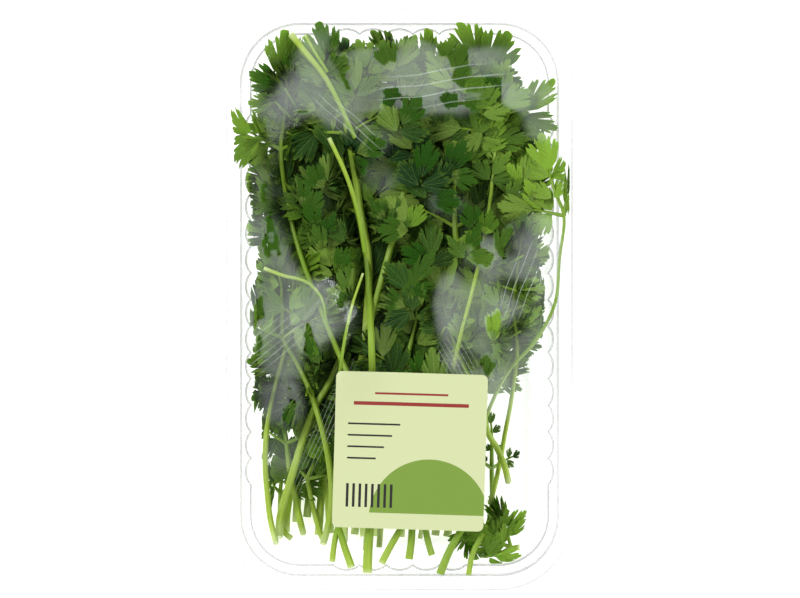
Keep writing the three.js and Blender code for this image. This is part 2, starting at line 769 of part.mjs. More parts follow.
// A broken-off top of a frond, caught between the cut ends and the corner of the tray.
function looseFrond() {
  const stalk = [[49, -100], [46.5, -98.8], [43.5, -97]];
  return planFrond({ stalk, heading: -76, size: 0.75, rachis: 0.5, cutLevel: 0.95 });
}

// The height that the springy fronds below hold a frond up at, as shares of the way from the
// tray's floor to the leaves' top at the leafy end and at the cut ends.
function heldUp(level, cutLevel) {
  return HeightMap.from((x, y) => {
    const share = mix(cutLevel, level, THREE.MathUtils.smoothstep(y, STALK_END, LEAF_START));
    return FLOOR + GAP + share * (LEAF_TOP - FLOOR);
  });
}

// Lays the fronds in turn, and lifts each until it is clear of the tray and of the others.
function layBunch(plans, trayShape) {
  const flange = HeightMap.from((x, y) => (insetAt(x, y) < BAND_INSET + TRAY_WALL + CELL ? RIM : 0));
  const pile = heldUp(0, 0);
  const solids = [];
  plans.forEach((plan) => {
    const ground = pile.over(heldUp(plan.level, plan.cutLevel));
    const stems = layFrond(plan, plan.overRim ? ground.over(flange) : ground);
    let solid = frondSolid(stems);
    while (meets(solid, [trayShape, ...solids])) {
      liftFrond(stems, LIFT);
      solid = frondSolid(stems);
    }
    solids.push(solid);
    stems.forEach(({ points, radii, blade }) => {
      pile.coverStem(points, radii);
      pile.coverTriangles(blade.over, HAND.triangles);
    });
  });
  return { solids, pile: pile.over(flange) };
}

// ---- The film --------------------------------------------------------------------------------

// The height of a skin pulled tight over the pile from rim to rim. It is relaxed cell by cell:
// where nothing pushes it up, it lies midway between its neighbours.
function tautSkin(pile) {
  const rim = HeightMap.from((x, y) => (insetAt(x, y) < CELL ? 1 : 0)).z;
  const skin = new HeightMap(pile.z.map((z) => Math.max(z, RIM) + GAP));
  for (let pass = 0; pass < FILM_PASSES; pass++) {
    for (let k = COLUMNS + 1; k < skin.z.length - COLUMNS - 1; k++) {
      if (rim[k]) continue;
      const round = skin.z[k - 1] + skin.z[k + 1] + skin.z[k - COLUMNS] + skin.z[k + COLUMNS];
      skin.z[k] = Math.max(round / 4, pile.z[k] + GAP);
    }
  }
  return skin;
}

// The film as one shell: over the pile, down outside the rim to the tray's foot, and in under it
// to the end of its hem. The middle of the tray's underside stays bare.
function filmSolid(pile) {
  const skin = tautSkin(pile);
  const ringAt = (inset, z) => plainOutline(inset, z, CORNER_STEPS, FILM_SIDE_POINTS);
  const across = FILM_RINGS.map((share) => mix(TRAY_WIDTH / 2 - FILM_MIDDLE, -FILM_CLEARANCE, share));
  const top = across.map((inset) => {
    const ring = ringAt(inset, 0);
    ring.forEach((p) => p.setZ(skin.at(p.x, p.y)));
    return ring;
  });
  const count = top[0].length;
  const points = top.flat();
  const cap = capOf(top[0]);
  const triangles = [...cap];
  for (let r = 0; r + count < points.length; r += count) {
    for (let i = 0; i < count; i++) {
      const j = (i + 1) % count;
      triangles.push([r + i, r + count + i, r + count + j], [r + i, r + count + j, r + j]);
    }
  }
  liftOver(points, triangles, new HeightMap(pile.z.map((z) => z + GAP)));

  const foot = FOOT_INSET - FLUTE_DEPTH - FILM_CLEARANCE;
  const inside = [
    ...top,
    ringAt(-FILM_CLEARANCE, RIM - FILM_EDGE),
    ringAt(foot, FILM),
    ringAt(foot + FILM_HEM, FILM),
  ];
  const outside = [
    ringAt(foot + FILM_HEM + FILM, 0),
    ringAt(foot, 0),
    ringAt(-FILM_CLEARANCE - FILM, RIM - FILM_EDGE),
    ...top.map((ring) => ring.map((p) => p.clone().setZ(p.z + FILM))).reverse(),
  ];
  return loft([...inside, ...outside], cap, cap, inside.length);
}

// ---- The label -------------------------------------------------------------------------------

// A sheet of paper with rounded corners that follows the film.
function labelSolid(film) {
  const { vertProperties, triVerts } = film.getMesh();
  const filmTop = HeightMap.from(() => 0);
  const corners = [];
  for (let i = 0; i < vertProperties.length; i += 3) {
    corners.push(new THREE.Vector3(...vertProperties.subarray(i, i + 3)));
  }
  for (let t = 0; t < triVerts.length; t += 3) {
    filmTop.coverTriangles(corners, [Array.from(triVerts.subarray(t, t + 3))]);
  }
  const side = LABEL_STOPS.length;
  const [c, s] = [Math.cos(radians(LABEL_TURN)), Math.sin(radians(LABEL_TURN))];
  const under = LABEL_STOPS.flatMap((v) =>
    LABEL_STOPS.map((u) => {
      const cut = Math.abs(u) === 1 && Math.abs(v) === 1 ? LABEL_CORNER : 1;
      const [x, y] = [(u * cut * LABEL_WIDTH) / 2, (v * cut * LABEL_LENGTH) / 2];
      const [px, py] = [LABEL_CENTRE[0] + x * c - y * s, LABEL_CENTRE[1] + x * s + y * c];
      return new THREE.Vector3(px, py, filmTop.at(px, py));
    }),
  );
  const sheet = [];
  for (let row = 0; row + 1 < side; row++) {
    for (let column = 0; column + 1 < side; column++) {
      const k = row * side + column;
      sheet.push([k, k + 1, k + side + 1], [k, k + side + 1, k + side]);
    }
  }
  liftOver(under, sheet, filmTop);
  const over = under.map((p) => p.clone().setZ(p.z + LABEL_THICKNESS));
  const total = under.length;
  const triangles = sheet.flatMap(([a, b, d]) => [
    [a, d, b],
    [a + total, b + total, d + total],
  ]);
  const last = side - 1;
  const edge = [
    ...Array.from({ length: last }, (_, k) => k),
    ...Array.from({ length: last }, (_, k) => k * side + last),
    ...Array.from({ length: last }, (_, k) => total - 1 - k),
    ...Array.from({ length: last }, (_, k) => (last - k) * side),
  ];
  edge.forEach((from, i) => {
    const to = edge[(i + 1) % edge.length];
    triangles.push([from, to, to + total], [from, to + total, from + total]);
  });
  return solidOf([...under, ...over], triangles);
}

// ---- The assembly ----------------------------------------------------------------------------

const clearTray = new THREE.MeshStandardMaterial({
  color: 0xf1f5f2,
  roughness: 0.12,
  transparent: true,
  opacity: 0.3,
});
const clearFilm = new THREE.MeshStandardMaterial({
  color: 0xf4f7f4,
  roughness: 0.08,
  transparent: true,
  opacity: 0.2,
});
const labelPaper = new THREE.MeshStandardMaterial({ color: 0xdde6b8, roughness: 0.55 });
const leafGreen = new THREE.MeshStandardMaterial({ color: 0x4d8a2c, roughness: 0.6 });

function buildGroup() {
  const trayShape = traySolid();
  const plans = [...laidFronds(), ...shortFronds(), ...topFronds(), looseFrond()];
  const { solids, pile } = layBunch(plans, trayShape);
  const film = filmSolid(pile);
  const group = new THREE.Group();
  group.add(meshOf("tray", trayShape, clearTray));
  group.add(meshOf("film", film, clearFilm));
  group.add(meshOf("label", labelSolid(film), labelPaper));
  solids.forEach((solid, k) => {
    const name = k + 1 < solids.length ? `frond_${String(k + 1).padStart(2, "0")}` : "loose_frond";
    group.add(meshOf(name, solid, leafGreen));
  });
  return group;
}

export default buildGroup();
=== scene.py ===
"""A retail pack of flat-leaf parsley: cut fronds in a clear fluted tray, under stretch film with a label.

Lengths are in millimetres until a mesh is made, which is in metres. +Y points to the leaf tips and +Z up.
"""

import logging
import math
from dataclasses import dataclass, field
from enum import Enum
from typing import ClassVar, Iterable

import bpy
import numpy as np
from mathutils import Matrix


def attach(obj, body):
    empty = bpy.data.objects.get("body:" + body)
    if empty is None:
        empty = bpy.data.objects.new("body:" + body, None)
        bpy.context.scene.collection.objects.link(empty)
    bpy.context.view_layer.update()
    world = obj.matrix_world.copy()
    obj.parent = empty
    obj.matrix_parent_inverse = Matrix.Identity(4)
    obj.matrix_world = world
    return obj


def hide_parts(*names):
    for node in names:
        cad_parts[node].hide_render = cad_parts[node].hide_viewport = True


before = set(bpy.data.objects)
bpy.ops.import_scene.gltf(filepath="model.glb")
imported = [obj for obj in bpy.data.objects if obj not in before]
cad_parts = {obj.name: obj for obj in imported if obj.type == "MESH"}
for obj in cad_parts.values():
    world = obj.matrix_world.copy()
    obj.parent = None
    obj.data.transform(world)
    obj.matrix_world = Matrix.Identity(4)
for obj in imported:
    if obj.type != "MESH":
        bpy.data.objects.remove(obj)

log = logging.getLogger("parsley")

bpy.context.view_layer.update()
METRES = 0.001
SEED = 20417
DETAIL_SEED = 71
FILL_SEED = 5
GOLDEN = 0.618034

# The tray and the film, as the frame has them.
TRAY_WIDTH = 133.4
TRAY_LENGTH = 223.4
TRAY_CORNER = 28.5
TRAY_WALL = 0.8
FLOOR = 1.75
RIM = 38.95
LEDGE = 32.95
WALL_INSET = 9.2
FOOT_INSET = 16.2
FILM = 0.6
FILM_EDGE = 2.0
FILM_HEM = 16.0
FILM_CLEARANCE = 0.4
FLUTE_PITCH = 10.2
FLUTE_DEPTH = 1.9
LONG_SIDE_FLUTES = 14
SHORT_SIDE_FLUTES = 5

# The parsley, as the frame has it.
STALK_RADIUS = 1.6
FORK_RADIUS = 1.1
STALK_STEPS = 8
RACHIS_RADIUS = 0.95
RACHIS_LENGTH = 22.0
SIDE_BRANCH_RADIUS = 0.8
SIDE_BRANCH_LENGTH = 12.0
SIDE_BRANCH_ANGLE = 66.0
HAND_SIZE = 23.0
SIDE_HAND_SIZE = 21.0
HAND_ROOM = 3.0
WALL_WEIGHT = 3.0
TURNS = (0, -10, 10, -20, 20, -30, 30)
LAID_FRONDS = 18
LAID_KNOTS = 4
STALK_SPACING = 4.6
WALL_MARGIN = 8.0
STALK_WALL_MARGIN = 3.0
WALL_CLEARANCE = 0.5
TURNED_UP = 0.4

Array = np.ndarray
Point = tuple[float, float]
Triple = tuple[float, float, float]
Colour = Triple
Box = tuple[float, float, float, float]


# ---- Meshes ----------------------------------------------------------------------------------


@dataclass
class Surface:
    """Points and faces gathered into one mesh, with named values for each point."""

    SHARP: ClassVar[float] = 70.0

    name: str
    points: list[Array] = field(default_factory=list)
    faces: list[list[int]] = field(default_factory=list)
    finishes: list[int] = field(default_factory=list)
    values: dict[str, list[Array]] = field(default_factory=dict)
    count: int = 0

    def add(self, points: Array, faces: Array, finish: int = 0, **values: Array | float) -> None:
        """Adds one patch.

        Args:
            points: Places in millimetres, (points, 3).
            faces: Corners of each face as indices into the patch, (faces, corners).
            finish: Which of the piece's materials the faces wear.
            values: Named values, each one number or one for each point. Where a patch has none it is 0.
        """
        self.faces.extend((faces + self.count).tolist())
        self.finishes.extend([finish] * len(faces))
        self.points.append(points)
        for key in sorted({*values, *self.values}):
            before = self.values.setdefault(key, [np.zeros(self.count)])
            before.append(np.broadcast_to(values.get(key, 0.0), len(points)))
        self.count += len(points)

    def add_shell(self, rings: Array, **values: Array) -> None:
        """Adds a closed shell: rings of points joined each to the next, with a face over both ends.

        Args:
            rings: The rings, counter-clockwise from above, (rings, columns, 3). They start in the middle of
                the upper skin, go out to the edge and come back along the lower skin.
            values: Named values, each (rings * columns,).
        """
        rows, columns = rings.shape[:2]
        first = self.count + np.arange(columns)
        last = first + (rows - 1) * columns
        self.add(rings.reshape(-1, 3), grid_faces(rows, columns, wrap=True)[:, ::-1], **values)
        self.faces.extend([first.tolist(), last[::-1].tolist()])
        self.finishes.extend([0, 0])

    def build(
        self, finishes: list[bpy.types.Material], slot: str, *nodes: str, lets_light: bool = False
    ) -> bpy.types.Object:
        """Makes the object, shaded smooth but for its sharp edges, riding on the root body.

        Args:
            finishes: The materials, in the order of their numbers.
            slot: The record's material slot. It is not used.
            nodes: The frame's nodes that the piece stands for.
            lets_light: Whether it is so clear that light goes through it undimmed.

        Returns:
            The finished object, with its place in its mesh.
        """
        mesh = bpy.data.meshes.new(self.name)
        mesh.from_pydata((np.concatenate(self.points) * METRES).tolist(), [], self.faces)
        mesh.polygons.foreach_set("use_smooth", np.ones(len(self.faces), bool))
        mesh.polygons.foreach_set("material_index", np.array(self.finishes, np.int32))
        mesh.set_sharp_from_angle(angle=math.radians(self.SHARP))
        for key, parts in self.values.items():
            layer = mesh.attributes.new(key, "FLOAT", "POINT")
            layer.data.foreach_set("value", np.concatenate(parts).astype(np.float32))
        for finish in finishes:
            mesh.materials.append(finish)
        piece = bpy.data.objects.new(self.name, mesh)
        bpy.context.scene.collection.objects.link(piece)
        piece.visible_shadow = piece.visible_diffuse = not lets_light
        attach(piece, "root")
        if nodes:
            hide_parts(*nodes)
        return piece


def grid_faces(rows: int, columns: int, wrap: bool = False) -> Array:
    """The four-cornered faces of a grid of points, counter-clockwise with columns right and rows up.

    Args:
        rows: Points up the grid.
        columns: Points across it.
        wrap: Whether the last column joins the first.

    Returns:
        The faces' corners, (faces, 4).
    """
    index = np.arange(rows * columns).reshape(rows, columns)
    if wrap:
        index = np.hstack([index, index[:, :1]])
    corners = index[:-1, :-1], index[:-1, 1:], index[1:, 1:], index[1:, :-1]
    return np.stack(corners, -1).reshape(-1, 4)


def leaf_faces(rows: int, columns: int) -> Array:
    """The faces of a leaf with an upper and a lower skin that share the points of their edge.

    Args:
        rows: Points along the leaf.
        columns: Points across it.

    Returns:
        The faces' corners, (faces, 4). The upper skin's points come first, then the lower's inner ones.
    """
    upper = grid_faces(rows, columns)
    index = np.arange(rows * columns).reshape(rows, columns)
    index[1:-1, 1:-1] = rows * columns + np.arange((rows - 2) * (columns - 2)).reshape(rows - 2, -1)
    corners = index[:-1, :-1], index[1:, :-1], index[1:, 1:], index[:-1, 1:]
    return np.concatenate([upper, np.stack(corners, -1).reshape(-1, 4)])


def normals_of(grid: Array) -> Array:
    """Unit normals of grids of points, from the differences along their rows and columns.

    Args:
        grid: Points, (..., rows, columns, 3).

    Returns:
        Unit vectors of the same shape, up where columns run right and rows run up.
    """
    across = np.gradient(grid, axis=-2)
    along = np.gradient(grid, axis=-3)
    normal = np.cross(across, along)
    return normal / np.maximum(np.linalg.norm(normal, axis=-1, keepdims=True), 1e-9)


def leaf_skins(grid: Array, thickness: float) -> Array:
    """The points of a leaf's two skins, half its thickness to each side and together at the edge.

    Args:
        grid: The middle of the leaf, (rows, columns, 3).
        thickness: The thickness.

    Returns:
        The upper skin's points and then the lower's inner ones, (points, 3).
    """
    half = normals_of(grid) * thickness / 2
    half[[0, -1]] = 0
    half[:, [0, -1]] = 0
    lower = (grid - half)[1:-1, 1:-1]
    return np.concatenate([(grid + half).reshape(-1, 3), lower.reshape(-1, 3)])


def smoothstep(value: Array, low: float, high: float) -> Array:
    """A smooth rise from 0 at low to 1 at high: 3t^2 - 2t^3 of the clipped share t."""
    share = np.clip((value - low) / (high - low), 0, 1)
    return share * share * (3 - 2 * share)


def catmull_rom(knots: Array, count: int) -> Array:
    """Points spaced evenly along a centripetal Catmull-Rom curve through some knots.

    Each stretch is a cubic whose end slopes weigh the neighbouring stretches by the square roots of their
    lengths. It is sampled finely, and the samples are then picked at even steps of length.

    Args:
        knots: The knots, (knots, axes).
        count: How many steps to take.

    Returns:
        The points, (count + 1, axes).
    """
    padded = np.vstack([2 * knots[0] - knots[1], knots, 2 * knots[-1] - knots[-2]])
    place = np.linspace(0, len(knots) - 1, 201)
    start = np.minimum(place.astype(int), len(knots) - 2)
    share = (place - start)[:, None]
    before, a, b, after = (padded[start + k] for k in range(4))
    pairs = ((before, a), (a, b), (b, after))
    first, middle, last = (np.sqrt(np.linalg.norm(q - p, axis=1, keepdims=True)) for p, q in pairs)
    leave = middle * ((a - before) / first - (b - before) / (first + middle) + (b - a) / middle)
    arrive = middle * ((b - a) / middle - (after - a) / (middle + last) + (after - b) / last)
    cubic = 2 * a - 2 * b + leave + arrive
    square = -3 * a + 3 * b - 2 * leave - arrive
    fine = a + share * (leave + share * (square + share * cubic))
    run = np.concatenate([[0], np.cumsum(np.linalg.norm(np.diff(fine, axis=0), axis=1))])
    wanted = np.linspace(0, run[-1], count + 1)
    return np.stack([np.interp(wanted, run, axis) for axis in fine.T], -1)


# ---- Heights read from the frame -------------------------------------------------------------


def node_points(name: str) -> Array:
    """Reads the distinct points of a node of the frame.

    Args:
        name: The node.

    Returns:
        The points, in millimetres, (points, 3).
    """
    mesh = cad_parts[name].data
    flat = np.empty(len(mesh.vertices) * 3, np.float32)
    mesh.vertices.foreach_get("co", flat)
    return np.unique((flat.reshape(-1, 3) / METRES).round(3), axis=0).astype(float)


def node_triangles(name: str) -> Array:
    """Reads the triangles of a node of the frame.

    Args:
        name: The node.

    Returns:
        The triangles, in millimetres, (triangles, 3, 3).
    """
    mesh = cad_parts[name].data
    mesh.calc_loop_triangles()
    corners = np.empty(len(mesh.loop_triangles) * 3, np.int32)
    mesh.loop_triangles.foreach_get("vertices", corners)
    flat = np.empty(len(mesh.vertices) * 3, np.float32)
    mesh.vertices.foreach_get("co", flat)
    return (flat.reshape(-1, 3)[corners].reshape(-1, 3, 3) / METRES).astype(float)


def nearest_height(known: Array, wanted: Array, count: int) -> Array:
    """The mean height of the few known points that are nearest in plan to each wanted place.

    Args:
        known: Points, (points, 3).
        wanted: Places in plan, (places, 2).
        count: How many points to take the mean of.

    Returns:
        A height for each place.
    """
    apart = np.linalg.norm(known[None, :, :2] - wanted[:, None], axis=-1)
    nearest = np.argsort(apart, axis=1)[:, :count]
    return known[nearest, 2].mean(1)


class HeightField:
    """Heights on a grid of square cells of one millimetre over the pack."""

    REACH_X = 72
    REACH_Y = 116

    def __init__(self, heights: Array) -> None:
        """Keeps the heights, a row for each millimetre of Y."""
        self.heights = heights

    @classmethod
    def over(cls, triangles: Array, empty: float) -> "HeightField":
        """The top of some triangles, cell by cell: the plane of each at the cells whose middle it covers.

        Args:
            triangles: The triangles, (triangles, 3, 3).
            empty: The height where there is none.

        Returns:
            The field.
        """
        heights = np.full((2 * cls.REACH_Y + 1, 2 * cls.REACH_X + 1), empty)
        shifted = triangles + [cls.REACH_X, cls.REACH_Y, 0]
        for a, b, c in shifted:
            area = (b[0] - a[0]) * (c[1] - a[1]) - (c[0] - a[0]) * (b[1] - a[1])
            if abs(area) < 1e-3:
                continue
            low = np.floor(np.minimum(np.minimum(a, b), c)[:2]).astype(int)
            high = np.ceil(np.maximum(np.maximum(a, b), c)[:2]).astype(int)
            x, y = np.meshgrid(np.arange(low[0], high[0] + 1), np.arange(low[1], high[1] + 1))
            s = ((x - a[0]) * (c[1] - a[1]) - (c[0] - a[0]) * (y - a[1])) / area
            t = ((b[0] - a[0]) * (y - a[1]) - (x - a[0]) * (b[1] - a[1])) / area
            z = a[2] + s * (b[2] - a[2]) + t * (c[2] - a[2])
            inside = (s >= -1e-6) & (t >= -1e-6) & (s + t <= 1 + 1e-6)
            np.maximum.at(heights, (y[inside], x[inside]), z[inside])
        return cls(heights)

    @classmethod
    def tops(cls, points: Array, empty: float) -> "HeightField":
        """The highest of some points in each cell.

        Args:
            points: The points, (points, 3).
            empty: The height where there is none.

        Returns:
            The field.
        """
        heights = np.full((2 * cls.REACH_Y + 1, 2 * cls.REACH_X + 1), empty)
        column, row = (points[:, :2] + [cls.REACH_X, cls.REACH_Y]).round().astype(int).T
        np.maximum.at(heights, (row, column), points[:, 2])
        return cls(heights)

    def smoothed(self, passes: int) -> "HeightField":
        """Smooths the heights: each cell becomes the mean of itself and its four neighbours.

        Args:
            passes: How many times over.

        Returns:
            The smooth field.
        """
        z = self.heights
        for _ in range(passes):
            wide = np.pad(z, 1, mode="edge")
            above, below = wide[:-2, 1:-1], wide[2:, 1:-1]
            z = (wide[1:-1, 1:-1] + above + below + wide[1:-1, :-2] + wide[1:-1, 2:]) / 5
        return HeightField(z)

    def at(self, x: Array, y: Array) -> Array:
        """The heights at some places, each filled in between the four cells round it.

        Args:
            x: Places across the pack.
            y: Places along it.

        Returns:
            The heights.
        """
        column = np.clip(x + self.REACH_X, 0, 2 * self.REACH_X - 1e-6)
        row = np.clip(y + self.REACH_Y, 0, 2 * self.REACH_Y - 1e-6)
        i, j = row.astype(int), column.astype(int)
        s, t = column - j, row - i
        z = self.heights
        low = z[i, j] * (1 - s) + z[i, j + 1] * s
        high = z[i + 1, j] * (1 - s) + z[i + 1, j + 1] * s
        return low * (1 - t) + high * t


def past_wall(x: Array, y: Array, inset: Array | float) -> tuple[Array, Array, Array]:
    """How far places are past a rounded rectangle in plan, below 0 inside it, and the way straight out.

    Args:
        x: Places across the tray.
        y: Places along it.
        inset: How far inside the rim the rectangle is.

    Returns:
        The distance, and the way out as its parts along X and Y.
    """
    radius = np.maximum(TRAY_CORNER - inset, 6)
    beyond_x = np.abs(x) - (TRAY_WIDTH / 2 - inset - radius)
    beyond_y = np.abs(y) - (TRAY_LENGTH / 2 - inset - radius)
    out_x, out_y = np.maximum(beyond_x, 0), np.maximum(beyond_y, 0)
    corner = np.hypot(out_x, out_y)
    distance = corner + np.minimum(np.maximum(beyond_x, beyond_y), 0) - radius
    safe = np.maximum(corner, 1e-9)
    way_x = np.where(corner > 0, out_x / safe, beyond_x > beyond_y)
    way_y = np.where(corner > 0, out_y / safe, beyond_x <= beyond_y)
    return distance, np.sign(x) * way_x, np.sign(y) * way_y


def keep_inside(x: Array, y: Array, z: Array, outset: float, margin: float) -> tuple[Array, Array, Array]:
    """Moves places that are near the tray's wall, or past it, inwards.

    The distance d past the rounded wall becomes -margin * exp(-(d + margin) / margin), so that the margin
    before the wall takes up all that would have gone past it.

    Args:
        x: Places across the tray.
        y: Places along it.
        z: Their heights, because the wall leans.
        outset: How much further out the wall is taken to be.
        margin: The width of the margin.

    Returns:
        The places moved, as x and y, and how far each has moved.
    """
    rise = np.clip((z - FLOOR) / (LEDGE - FLOOR), 0, 1)
    inset = FOOT_INSET + (WALL_INSET - FOOT_INSET) * rise + TRAY_WALL + WALL_CLEARANCE - outset
    distance, way_x, way_y = past_wall(x, y, inset)
    moved = np.where(distance < -margin, 0, distance + margin * np.exp(-(distance + margin) / margin))
    return x - way_x * moved, y - way_y * moved, moved


def wall_height(x: Array, y: Array) -> Array:
    """The height of the tray's floor or wall at some places: the wall rises evenly outside the foot."""
    outside, _, _ = past_wall(x, y, FOOT_INSET + TRAY_WALL)
    return FLOOR + np.maximum(outside, 0) * (LEDGE - FLOOR) / (FOOT_INSET - WALL_INSET)


# ---- The plan of the bunch -------------------------------------------------------------------


class Draws:
    """Seeded draws from a linear congruential generator, in the order that the frame made them."""

    FACTOR = 1664525
    STEP = 1013904223
    SPAN = 4294967296

    def __init__(self, seed: int) -> None:
        """Starts at a seed."""
        self.state = seed

    def between(self, low: float, high: float) -> float:
        """The next draw between two values."""
        self.state = (self.state * self.FACTOR + self.STEP) % self.SPAN
        return low + (high - low) * self.state / self.SPAN


@dataclass(frozen=True)
class Hand:
    """A hand of leaflets: where it starts, its heading in degrees from +Y towards +X, and its length."""

    origin: Point
    heading: float
    size: float

    def place(self, along: Array, across: Array) -> tuple[Array, Array]:
        """Lays points of the hand out in plan.

        Args:
            along: How far along the hand each is, for a hand of length 1.
            across: How far across it.

        Returns:
            Their places, as x and y.
        """
        s, c = math.sin(math.radians(self.heading)), math.cos(math.radians(self.heading))
        x = self.origin[0] + self.size * (along * s + across * c)
        y = self.origin[1] + self.size * (along * c - across * s)
        return x, y


@dataclass(frozen=True)
class Stray:
    """A bare length of stalk that lies on top: its knots in plan, and its radius at both ends.

    It lies at its depth below the film. Its start is 0 at a cut end, and higher the greener it starts.
    """

    knots: tuple[Point, ...]
    thick: float
    thin: float
    depth: float = 1.0
    start: float = 0.0


@dataclass(frozen=True)
class Frond:
    """A frond's stalk in plan from the cut end to the fork, and the hands at the ends of its branches.

    The lesser hands fill the bunch. Each has its share of the height from the floor to the film. A sunk
    stalk dives in among the others at its cut end, by so many millimetres. A tone above 0 is paler.
    Leafage is the size of the leaflets as a share of the usual, and slender that of the stalk's radius.
    Lesser leaves may lie over the stalk of a frond that is covered, and over no other stalk on top.
    """

    name: str
    stalk: Array
    hands: list[Hand]
    size: float
    over_rim: bool
    sunk: float
    tone: float
    leafage: float
    slender: float
    covered: bool
    lesser: list[tuple[Hand, float]] = field(default_factory=list)

    @property
    def outset(self) -> float:
        """How far outside the tray's wall the frond may reach."""
        return WALL_INSET if self.over_rim else 0.0


class BunchPlan:
    """The plan of every frond, drawn in the order in which they were laid."""

    # The draws for each hand's tilt, fold and curl in the frame. The finer leaves have their own.
    OTHER_DRAWS = ((-0.2, 0.35), (0, 0.09), (-0.14, 0.14))
    COLUMNS = (-27, 1, 28)
    ROWS = (-20, 36, 8, 62)
    LESSER_HANDS = 205
    UPPER_HANDS = 155
    UPPER_LEVELS = (0.5, 0.97)
    LOWER_LEVELS = (0.12, 0.5)
    LESSER_SIZES = (13, 18)
    PLACES_TRIED = 40
    NEAR = 9.0
    # Where leaves start along the tray, and the way towards its thin corner with how far out that starts.
    LEAFY_FROM = (-54, -18)
    THIN_CORNER = (0.874, 0.485)
    THIN_FROM = (82, 74)
    # The short leafy stems by the cut ends, and then the fronds on top.
    SHORT = (
        dict(stalk=[(-44, -97), (-47, -86), (-47, -76)], heading=6, size=0.75, tone=0.4),
        dict(stalk=[(-30, -96), (-34, -82), (-36, -70)], heading=20, size=0.75, tone=0.4),
        dict(stalk=[(-38, -92), (-42, -72), (-44, -56)], heading=-4, size=0.85),
        dict(stalk=[(30, -98), (36, -84), (36, -66)], heading=4, size=0.8, leafage=0.36, tone=0.5),
    )
    TOP = (
        dict(
            stalk=[(-50, -96), (-42.4, -70), (-38.1, -56.5), (-35, -46.2), (-26.6, -30.9), (-19, -11.7)],
            heading=24,
        ),
        dict(
            stalk=[(-50, -97), (-52, -78), (-51.2, -50), (-47.7, -30.9), (-42, -11.7)],
            heading=6,
            slender=0.75,
        ),
        dict(
            stalk=[(35.5, -80), (38.9, -64.6), (41.2, -51.2), (44.7, -30.9), (45.8, -17), (44, -4)],
            heading=2,
            slender=0.62,
        ),
        dict(
            stalk=[(42.4, -71), (38.9, -59.6), (34.9, -53.5), (30.9, -38.5), (22, -20)],
            heading=-14,
            slender=0.8,
        ),
        dict(
            stalk=[(-22, -95), (-20, -60), (-14, -20), (-2, 26), (6, 62)],
            heading=12,
            over_rim=True,
            covered=True,
        ),
        dict(
            stalk=[(8, -94), (14, -60), (22, -20), (34, 30), (37, 64)],
            heading=-6,
            over_rim=True,
            slender=0.6,
            covered=True,
        ),
        dict(
            stalk=[(-8, -97), (-8, -60), (-28, -10), (-42, 30), (-46, 58)],
            heading=-2,
            over_rim=True,
            tone=0.9,
            slender=0.75,
        ),
        dict(stalk=[(0, -90), (2, -60), (4, -44), (2, -26)], heading=4, size=0.9),
        dict(
            stalk=[(-30, -98.3), (-26.6, -78), (-28.3, -57.3), (-33.5, -38.5), (-38.1, -28.2), (-45, -14.8)],
            heading=-6,
            slender=0.85,
        ),
        dict(
            stalk=[(-12.8, -103), (-11.3, -65.4), (-10.5, -27), (-11.7, 0.2), (-13.4, 20.9), (-16.4, 34)],
            heading=-16,
        ),
        dict(stalk=[(-13, -14), (-12, 14), (-16, 40), (-20, 64)], heading=-10, over_rim=True, sunk=16),
        dict(
            stalk=[(19.4, -90), (34.3, -42.4), (44.3, -24.7), (57.6, -8.6), (60.8, 13.2), (63, 32)],
            heading=-14,
            size=0.85,
            over_rim=True,
            tone=0.9,
            slender=0.62,
        ),
    )
    LOOSE = dict(
        stalk=[(49, -100), (46.5, -98.8), (43.5, -97)],
        heading=-76,
        size=0.75,
        rachis=0.5,
        tone=0.7,
    )
    STRAYS = (
        Stray(((-41.5, 101.5), (-35.5, 94), (-29, 86), (-22.5, 74), (-17, 62)), 1.25, 0.8),
        Stray(((-36, 101), (-32, 94), (-27.5, 87)), 0.5, 0.7),
        Stray(((-52, 12), (-44, 9), (-36, 7), (-30, 1), (-28, -8)), 0.8, 0.45),
        Stray(((-27, 62), (-20.5, 48), (-16, 34), (-13.2, 18)), 0.8, 0.9),
        Stray(((-14, 10), (-18, -2), (-21, -16), (-23, -30)), 0.45, 0.7, 2.0),
        Stray(((-12.5, -105), (-12.2, -97), (-11.2, -84)), 1.9, 1.6, 2.5),
        Stray(((-18.5, -103), (-21, -96), (-24, -86)), 1.5, 1.2, 4.0),
        Stray(((-7, -101.5), (-3, -94), (3, -84)), 1.4, 1.2, 4.0),
        Stray(((-26, -101), (-25.2, -94), (-23, -84)), 1.2, 1.0, 5.0),
        Stray(((15.5, -105.5), (19, -97), (24, -88)), 1.6, 1.3, 3.0, 0.5),
        Stray(((26.5, -106), (28, -98), (32, -90)), 1.1, 1.0, 4.0, 0.2),
        Stray(((3.6, -100), (4.4, -94), (5, -84)), 1.5, 1.3, 6.0, 0.35),
        Stray(((12.4, -98.5), (10.6, -92), (9.5, -84)), 1.3, 1.2, 6.0, 0.4),
    )
    FALLEN = (
        (Hand((27, -92), 168, 13), 0.35),
        (Hand((36, -99), 84, 13), 0.6),
    )

    def __init__(self) -> None:
        """Draws every frond."""
        self.draws = Draws(SEED)
        self.fronds: list[Frond] = []
        self._laid()
        for plan in (*self.SHORT, *self.TOP):
            self._frond(**plan)
        self._frond(**self.LOOSE, name="loose_frond")
        self._fill()
        self.fronds[-1].lesser.extend(self.FALLEN)

